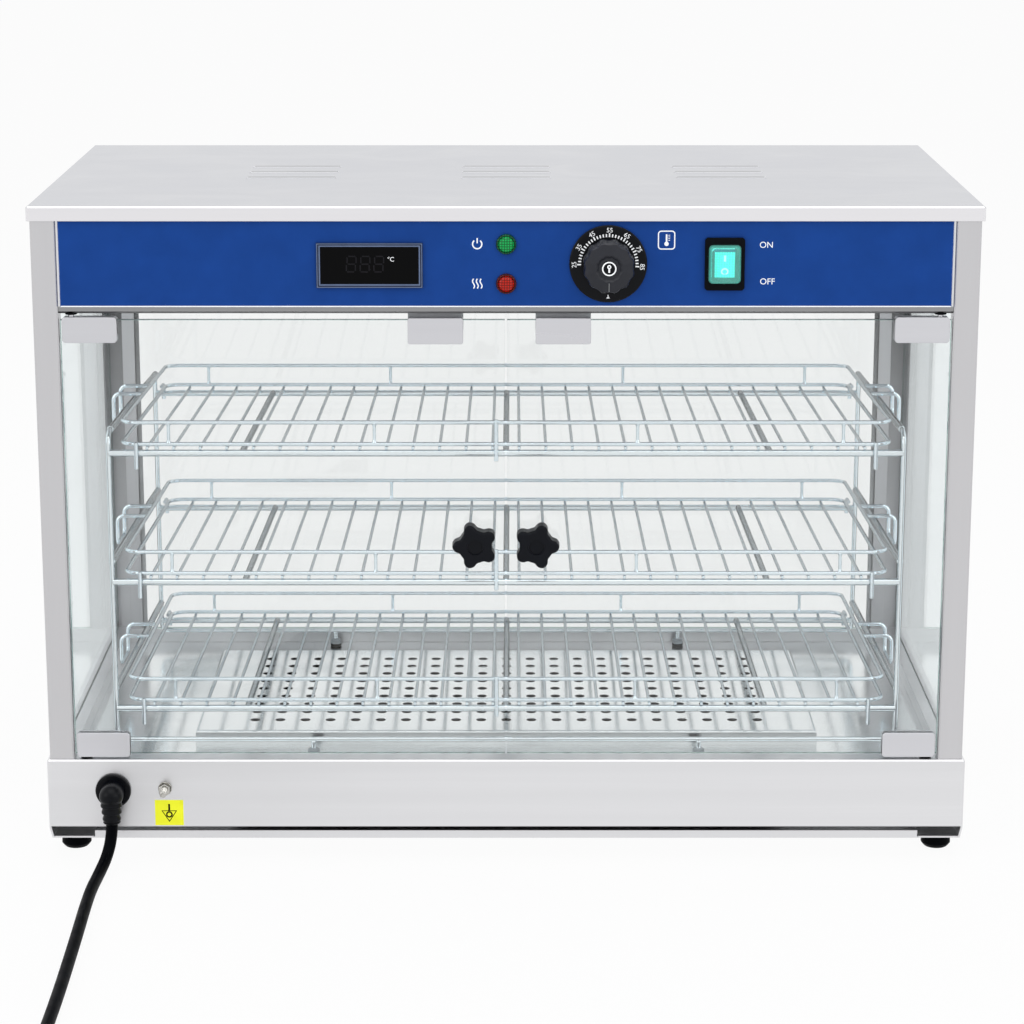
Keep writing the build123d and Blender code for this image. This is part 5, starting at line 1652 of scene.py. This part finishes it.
class CASE_OT_shelves(bpy.types.Operator):
    """Three hook-on wire shelves, drawn flat once and laid on the rails"""

    bl_idname = "case.shelves"
    bl_label = "Shelves"

    def execute(self, context):
        wires = context.scene.case_wires
        half = rack_depth / 2 / cos(rack_tilt)
        self.finger_y = half + wires.rail / 2 + hook_gap + wires.frame / 2
        self.ring_y = self.finger_y - wires.frame
        self.frame_z = wires.cross + wires.frame / 2
        self.guard_z = self.frame_z + guard_height
        drawn = {
            "shelf_grid": self.grid(wires),
            "shelf_guard": self.guard(wires),
            "shelf_hooks": self.hooks(wires),
        }
        middle_y = rack_front + rack_depth / 2
        for name, level in zip(level_names, rack_levels):
            lay = (
                Matrix.Translation((0, middle_y, rail_height(level, middle_y)))
                @ Matrix.Rotation(-rack_tilt, 4, "X")
                @ Matrix.Translation((0, 0, wires.rail / 2 + shelf_rest_gap))
            )
            for node, piece in drawn.items():
                laid = copied(piece, node + "_wires_" + name, lay)
                body = "shelf_" + name
                dress(laid, body, ["plated_wire"], [node + "_" + name], 60.0)
        for piece in drawn.values():
            bpy.data.objects.remove(piece)
        return {"FINISHED"}

    def ring(self, name, z, wires):
        """A closed ring of frame wire with round corners."""
        corners = [
            (shelf_side, self.ring_y, z),
            (-shelf_side, self.ring_y, z),
            (-shelf_side, -self.ring_y, z),
            (shelf_side, -self.ring_y, z),
        ]
        return wire(name, corners, wires.frame, corner_radius, 8, closed=True)

    def grid(self, wires):
        """The lower ring with the cross wires under it."""
        first = -(wires.crossings - 1) * cross_pitch / 2
        end = self.ring_y + wires.frame / 2
        z = wires.cross / 2
        cross = rod("cross_wire", (first, -end, z), (first, end, z), wires.cross, 10)
        row(cross, (cross_pitch, 0, 0), wires.crossings)
        return joined("drawn_grid", [self.ring("ring", self.frame_z, wires), cross])

    def guard(self, wires):
        """The upper ring on its uprights, with a bead at each joint."""
        pieces = [self.ring("ring", self.guard_z, wires)]
        for x in upright_places:
            for y in (-self.ring_y, self.ring_y):
                ends = ((x, y, self.frame_z), (x, y, self.guard_z))
                pieces.append(rod("upright", *ends, wires.cross, 12))
                for z, turn in ((self.frame_z + wires.frame / 2, UP), (self.guard_z - wires.frame / 2, DOWN)):
                    r = wires.cross / 2
                    flare = [(-0.0006, r * 1.5), (0, r * 1.4), (r * 0.7, r * 1.1), (r * 1.3, r)]
                    pieces.append(turned("fillet", (x, y, z), turn, flare, 12))
        return joined("drawn_guard", pieces)

    def hooks(self, wires):
        """Loops over the side rails, and fingers in front of and behind the level's rails."""
        edge = shelf_side + wires.frame / 2 - 0.0008
        out = shelf_side + wires.frame / 2 + hook_out
        y0, y1 = hook_centre - hook_length / 2, hook_centre + hook_length / 2
        low = self.guard_z - hook_drop
        loop = [
            (edge, y0, self.guard_z),
            (out, y0, self.guard_z),
            (out, y0, low),
            (out, y1, low),
            (out, y1, self.guard_z),
            (edge, y1, self.guard_z),
        ]
        side = edge + wires.frame / 2 + 0.0008
        rear = [
            (side, self.ring_y - corner_radius, self.frame_z),
            (side, self.finger_y, self.frame_z),
            (side, self.finger_y, self.frame_z - rear_finger_drop),
        ]
        pieces = both_sides(wire("hook_loop", loop, wires.frame, hook_bend))
        pieces += both_sides(wire("rear_finger", rear, wires.frame, hook_bend - 0.001))
        top = self.frame_z + wires.frame / 2
        ends = ((finger_x, -self.finger_y, top), (finger_x, -self.finger_y, -finger_drop))
        pieces += both_sides(rod("front_finger", *ends, wires.frame))
        x, y = middle_finger_x, -self.finger_y
        ends = ((x, y, self.guard_z + middle_finger_rise), (x, y, -middle_finger_drop))
        pieces.append(rod("middle_finger", *ends, wires.frame))
        return joined("drawn_hooks", pieces)


# Supply and mains cord


class CASE_OT_supply(bpy.types.Operator):
    """Strain relief, earth stud and terminal block"""

    bl_idname = "case.supply"
    bl_label = "Supply"

    def execute(self, context):
        self.gland()
        self.stud()
        eased("terminal_block", "terminals", 0.0005, 2, "cabinet", "grey_plastic")
        return {"FINISHED"}

    def gland(self):
        """A collar, an elbow with a round shoulder, and a ribbed tapering sleeve down the cord."""
        low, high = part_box("cord_gland")
        collar = (high.x - low.x) / 2
        at_case = (gland_x, case_front, gland_z)
        inside = (gland_x, case_front + case_sheet, gland_z)
        flange = [
            (-0.004, 0.0073),
            (0, 0.0074),
            (0, collar - 0.0002),
            (0.0006, collar),
            (0.0022, collar),
            (0.0030, collar - 0.0009),
        ]
        r = 0.0085
        arm = [
            (0.0030, r + 0.0006),
            (0.0042, r),
            (gland_out, r),
            (gland_out + 0.0028, r * 0.93),
            (gland_out + 0.0055, r * 0.74),
            (gland_out + 0.0074, r * 0.48),
            (gland_out + 0.0083, r * 0.18),
        ]
        drop = gland_z - cord_route[0][2]
        shoulder = ((0.98, 0.18), (0.86, 0.48), (0.64, 0.74), (0.33, 0.93), (0, 1))
        sleeve = [(-r * up, r * share) for up, share in shoulder]
        ribs = 4
        for number in range(ribs):
            share = (number + 0.25) / ribs
            radius = r + (0.0062 - r) * share
            z = drop * share
            sleeve += [
                (z, radius),
                (z + 0.0012, radius - 0.0001),
                (z + 0.0014, radius - 0.0012),
                (z + 0.0030, radius - 0.0013),
            ]
        sleeve += [(drop - 0.0008, 0.0063), (drop, 0.0058)]
        pieces = [
            turned("collar", at_case, TO_VIEWER, flange, 56),
            turned("arm", at_case, TO_VIEWER, arm, 48),
            turned("sleeve", (gland_x, case_front - gland_out, gland_z), DOWN, sleeve, 48),
            turned("nut", inside, TO_BACK, [(0, 0.0125), (0.005, 0.0125)], 6),
            turned("thread", inside, TO_BACK, [(0, 0.0074), (0.0105, 0.0072)], 32),
        ]
        piece = rounded(joined("strain_relief", pieces), 0.0002, 2, 40.0)
        dress(piece, "cabinet", ["satin_plastic"], ["cord_gland"], smooth=40.0)

    def stud(self):
        """A threaded stud with a washer and a hexagon nut on the outside."""
        reach = case_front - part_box("earth_stud")[0].y
        at_case = (earth_x, case_front, earth_z)
        inside = (earth_x, case_front + case_sheet, earth_z)
        pitch, r = 0.0008, 0.0025
        thread = [(-0.002, r * 0.85)]
        turns = int((reach - 0.0010) / pitch)
        for number in range(turns):
            y = number * pitch
            thread += [(y + 0.25 * pitch, r), (y + 0.75 * pitch, r * 0.84)]
        thread += [(reach - 0.0007, r * 0.95), (reach, r * 0.6)]
        nut = [(0.0010, 0.0043), (0.0014, 0.0046), (0.0046, 0.0046), (0.0050, 0.0043)]
        pieces = [
            turned("thread", at_case, TO_VIEWER, thread, 20),
            turned("washer", at_case, TO_VIEWER, [(0, 0.0048), (0.0002, 0.0050), (0.0010, 0.0049)], 36),
            turned("nut", at_case, TO_VIEWER, nut, 6),
            turned("head", inside, TO_BACK, [(0, 0.0046), (0.0035, 0.0046)], 6),
        ]
        piece = rounded(joined("earth_bolt", pieces), 0.00015, 1, 45.0)
        dress(piece, "cabinet", ["bright_plate"], ["earth_stud"], smooth=40.0)


def coil_point(turn):
    """A point on the coil, counted in turns from its start on the counter."""
    lay_turns = (coil_turns - 0.5) / 2
    outer = coil_radius + coil_pitch * lay_turns / 2
    inner = outer - coil_pitch * lay_turns
    low = cord_diameter / 2
    angle = pi + 2 * pi * turn
    if turn <= lay_turns:
        radius, z = outer - coil_pitch * turn, low
    elif turn <= lay_turns + 0.5:
        share = (turn - lay_turns) / 0.5
        radius = inner - coil_dip * sin(pi * share)
        z = low + coil_layer * (1 - cos(pi * share)) / 2
    else:
        radius, z = inner + coil_pitch * (turn - lay_turns - 0.5), low + coil_layer
    radius /= cos(pi / coil_points_per_turn)
    return coil_centre + Vector((radius * cos(angle), radius * sin(angle), z))


class CASE_OT_cord(bpy.types.Operator):
    """Mains cord with its coil, tie and plug"""

    bl_idname = "case.cord"
    bl_label = "Mains cord"

    def execute(self, context):
        steps = round(coil_turns * coil_points_per_turn)
        points = [Vector(point) for point in cord_route]
        points += [coil_point(coil_turns * number / steps) for number in range(steps + 1)]
        plug_start = points[-1] + Vector((coil_end_run, 0, 0))
        points += [points[-1] + Vector((coil_end_run * 0.5, 0, 0)), plug_start]
        cord = self.cord(points)
        tie = eased("cord_tie", "coil_strap", 0.0005, 3, "cabinet", "satin_plastic")
        plug = self.plug(plug_start)
        pins = self.pins()
        dress(cord, "cabinet", ["black_rubber"], ["cord_lead", "cord_coil"])
        return {"FINISHED"}

    def cord(self, points):
        """One smooth spline through the whole length."""
        curve = bpy.data.curves.new("mains_cord", "CURVE")
        curve.dimensions = "3D"
        spline = curve.splines.new("NURBS")
        spline.points.add(len(points) - 1)
        for knot, point in zip(spline.points, points):
            knot.co = (*point, 1.0)
        spline.order_u = 3
        spline.use_endpoint_u = True
        spline.resolution_u = 8
        curve.bevel_depth = cord_diameter / 2
        curve.bevel_resolution = 8
        curve.use_fill_caps = True
        cord = bpy.data.objects.new("mains_cord", curve)
        bpy.context.scene.collection.objects.link(cord)
        return cord

    def plug(self, start):
        """A round plug on its side: ribbed sleeve, waisted grip and a flat front."""
        neck = Vector((start.x + plug_sleeve, start.y, plug_radius))
        length = (neck - start).length
        ribs = 5
        sleeve = [(0, 0.0050)]
        for number in range(ribs):
            share = number / ribs
            radius = 0.0052 + 0.0062 * share
            z = length * share
            sleeve += [
                (z + 0.0004, radius),
                (z + 0.0026, radius + 0.0003),
                (z + 0.0028, radius - 0.0006),
                (z + 0.0044, radius),
            ]
        sleeve += [(length, 0.0125), (length + 0.001, 0.0125)]
        r = plug_radius
        grip = [
            (0, 0.0130),
            (0.0010, 0.0142),
            (0.0040, r - 0.0022),
            (0.0075, r - 0.0006),
            (0.0110, r),
            (0.0180, r - 0.0001),
            (0.0186, r - 0.0011),
            (0.0202, r - 0.0011),
            (0.0208, r - 0.0001),
            (0.0226, r - 0.0001),
            (0.0232, r - 0.0011),
            (0.0248, r - 0.0011),
            (0.0254, r),
            (plug_length - 0.0012, r),
            (plug_length - 0.0003, r - 0.0004),
            (plug_length, r - 0.0014),
        ]
        pieces = [
            turned("sleeve", start, neck - start, sleeve, 40),
            turned("grip", neck, RIGHT, grip, 56),
        ]
        plug = joined("mains_plug", pieces)
        return dress(plug, "cabinet", ["satin_plastic"], ["plug_body"], smooth=40.0)

    def pins(self):
        """Two round pins with domed tips."""
        low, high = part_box("plug_pins")
        r = (high.z - low.z) / 2
        length = high.x - low.x
        profile = [
            (-0.001, r),
            (length - 0.0024, r),
            (length - 0.0010, r * 0.8),
            (length - 0.0002, r * 0.45),
            (length, r * 0.2),
        ]
        pins = [
            turned("pin", (low.x, y, (low.z + high.z) / 2), RIGHT, profile, 28)
            for y in (low.y + r, high.y - r)
        ]
        prongs = joined("plug_prongs", pins)
        return dress(prongs, "cabinet", ["bright_plate"], ["plug_pins"])


# Stage


class CASE_OT_stage(bpy.types.Operator):
    """Ground, soft lights, room light and the camera"""

    bl_idname = "case.stage"
    bl_label = "Stage"

    def execute(self, context):
        settings = context.scene.case_stage
        context.scene.view_settings.view_transform = "Standard"
        self.camera()
        self.ground(settings)
        self.room(settings)
        self.lights(settings)
        return {"FINISHED"}

    def camera(self):
        """The camera in front of the case and above it."""
        clear()
        bpy.ops.object.camera_add(location=eye, rotation=(pi / 2 - view_pitch, 0, 0))
        camera = bpy.context.object
        camera.name = "camera"
        camera.data.lens = view_lens
        camera.data.sensor_width = 36.0
        camera.data.clip_start = 0.05
        camera.data.clip_end = 100.0
        bpy.context.scene.camera = camera

    def ground(self, settings):
        """A wide pale plane that stays white to the eye and keeps a faint shadow."""
        clear()
        bpy.ops.mesh.primitive_plane_add(size=30, location=(0, 0, 0))
        ground = named("ground")
        material = bpy.data.materials.new("ground")
        material.use_nodes = True
        tree = material.node_tree
        tree.nodes.clear()
        matt = add(tree, "BsdfDiffuse", {"Color": shade(settings.ground)})
        glow = add(tree, "Emission", {"Color": (1, 1, 1, 1), "Strength": 1.0})
        seen = self.seen(tree)
        share = add(tree, "Math", {0: seen, 1: ground_whiteness}, operation="MULTIPLY")
        both = add(tree, "MixShader", {0: share.outputs[0], 1: matt.outputs[0], 2: glow.outputs[0]})
        add(tree, "OutputMaterial", {"Surface": both.outputs[0]})
        ground.data.materials.append(material)

    def seen(self, tree):
        """A mask of the rays that look at the background directly, in metal or through glass."""
        ray = add(tree, "LightPath").outputs
        straight = add(tree, "Math", {0: ray["Is Camera Ray"], 1: ray["Is Glossy Ray"]}, operation="MAXIMUM")
        through = {0: straight.outputs[0], 1: ray["Is Transmission Ray"]}
        return add(tree, "Math", through, operation="MAXIMUM").outputs[0]

    def room(self, settings):
        """A room that lights softly and shows as plain white."""
        world = bpy.data.worlds.new("room")
        bpy.context.scene.world = world
        world.use_nodes = True
        tree = world.node_tree
        tree.nodes.clear()
        light = add(tree, "Background", {"Color": (0.97, 0.985, 1.0, 1.0), "Strength": settings.ambient})
        white = add(tree, "Background", {"Color": (1, 1, 1, 1), "Strength": 1.0})
        both = add(tree, "MixShader", {0: self.seen(tree), 1: light.outputs[0], 2: white.outputs[0]})
        add(tree, "OutputWorld", {"Surface": both.outputs[0]})

    def lights(self, settings):
        """A broad light above and one at each side."""
        places = (
            ("overhead", (0.0, -0.3, 2.3), 2.6, settings.overhead),
            ("left_side", (-2.0, -1.3, 1.2), 1.4, settings.sides),
            ("right_side", (2.0, -1.3, 1.2), 1.4, settings.sides),
        )
        target = Vector((0, 0, 0.25))
        for name, place, size, power in places:
            clear()
            bpy.ops.object.light_add(type="AREA", location=place)
            light = bpy.context.object
            light.name = name
            light.data.shape = "SQUARE"
            light.data.size = size
            light.data.energy = power
            light.rotation_euler = (target - Vector(place)).to_track_quat("-Z", "Y").to_euler()


class CASE_PT_sidebar(bpy.types.Panel):
    """Operators and settings of the display case"""

    bl_idname = "CASE_PT_sidebar"
    bl_label = "Heated Display Case"
    bl_space_type = "VIEW_3D"
    bl_region_type = "UI"
    bl_category = "Display Case"

    def draw(self, context):
        layout = self.layout
        for operator in OPERATORS:
            layout.operator(operator.bl_idname)
        for holder, group in SETTINGS.items():
            box = layout.box()
            box.label(text=group.__doc__)
            for name in group.__annotations__:
                box.prop(getattr(context.scene, holder), name)


OPERATORS = (
    CASE_OT_stage,
    CASE_OT_cord,
    CASE_OT_supply,
    CASE_OT_cabinet,
    CASE_OT_glazing,
    CASE_OT_heater,
    CASE_OT_rack,
    CASE_OT_shelves,
    CASE_OT_doors,
    CASE_OT_display,
    CASE_OT_lamps,
    CASE_OT_dial,
    CASE_OT_switch,
    CASE_OT_prints,
)
SETTINGS = {
    "case_finish": CaseFinish,
    "case_wires": CaseWires,
    "case_controls": CaseControls,
    "case_stage": CaseStage,
}


def register():
    """Makes the settings, the operators and the panel known to Blender."""
    for group in SETTINGS.values():
        bpy.utils.register_class(group)
    for operator in OPERATORS:
        bpy.utils.register_class(operator)
    bpy.utils.register_class(CASE_PT_sidebar)
    for holder, group in SETTINGS.items():
        setattr(bpy.types.Scene, holder, PointerProperty(type=group))


def unregister():
    """Takes them away again."""
    for holder in SETTINGS:
        delattr(bpy.types.Scene, holder)
    bpy.utils.unregister_class(CASE_PT_sidebar)
    for known in reversed((*SETTINGS.values(), *OPERATORS)):
        bpy.utils.unregister_class(known)


def main():
    """Builds the stage and every piece in order."""
    register()
    bpy.ops.case.stage()
    bpy.ops.case.cord()
    bpy.ops.case.supply()
    bpy.ops.case.cabinet()
    bpy.ops.case.glazing()
    bpy.ops.case.heater()
    bpy.ops.case.rack()
    bpy.ops.case.shelves()
    bpy.ops.case.doors()
    bpy.ops.case.display()
    bpy.ops.case.lamps()
    bpy.ops.case.dial()
    bpy.ops.case.switch()
    bpy.ops.case.prints()


if __name__ == "__main__":
    main()
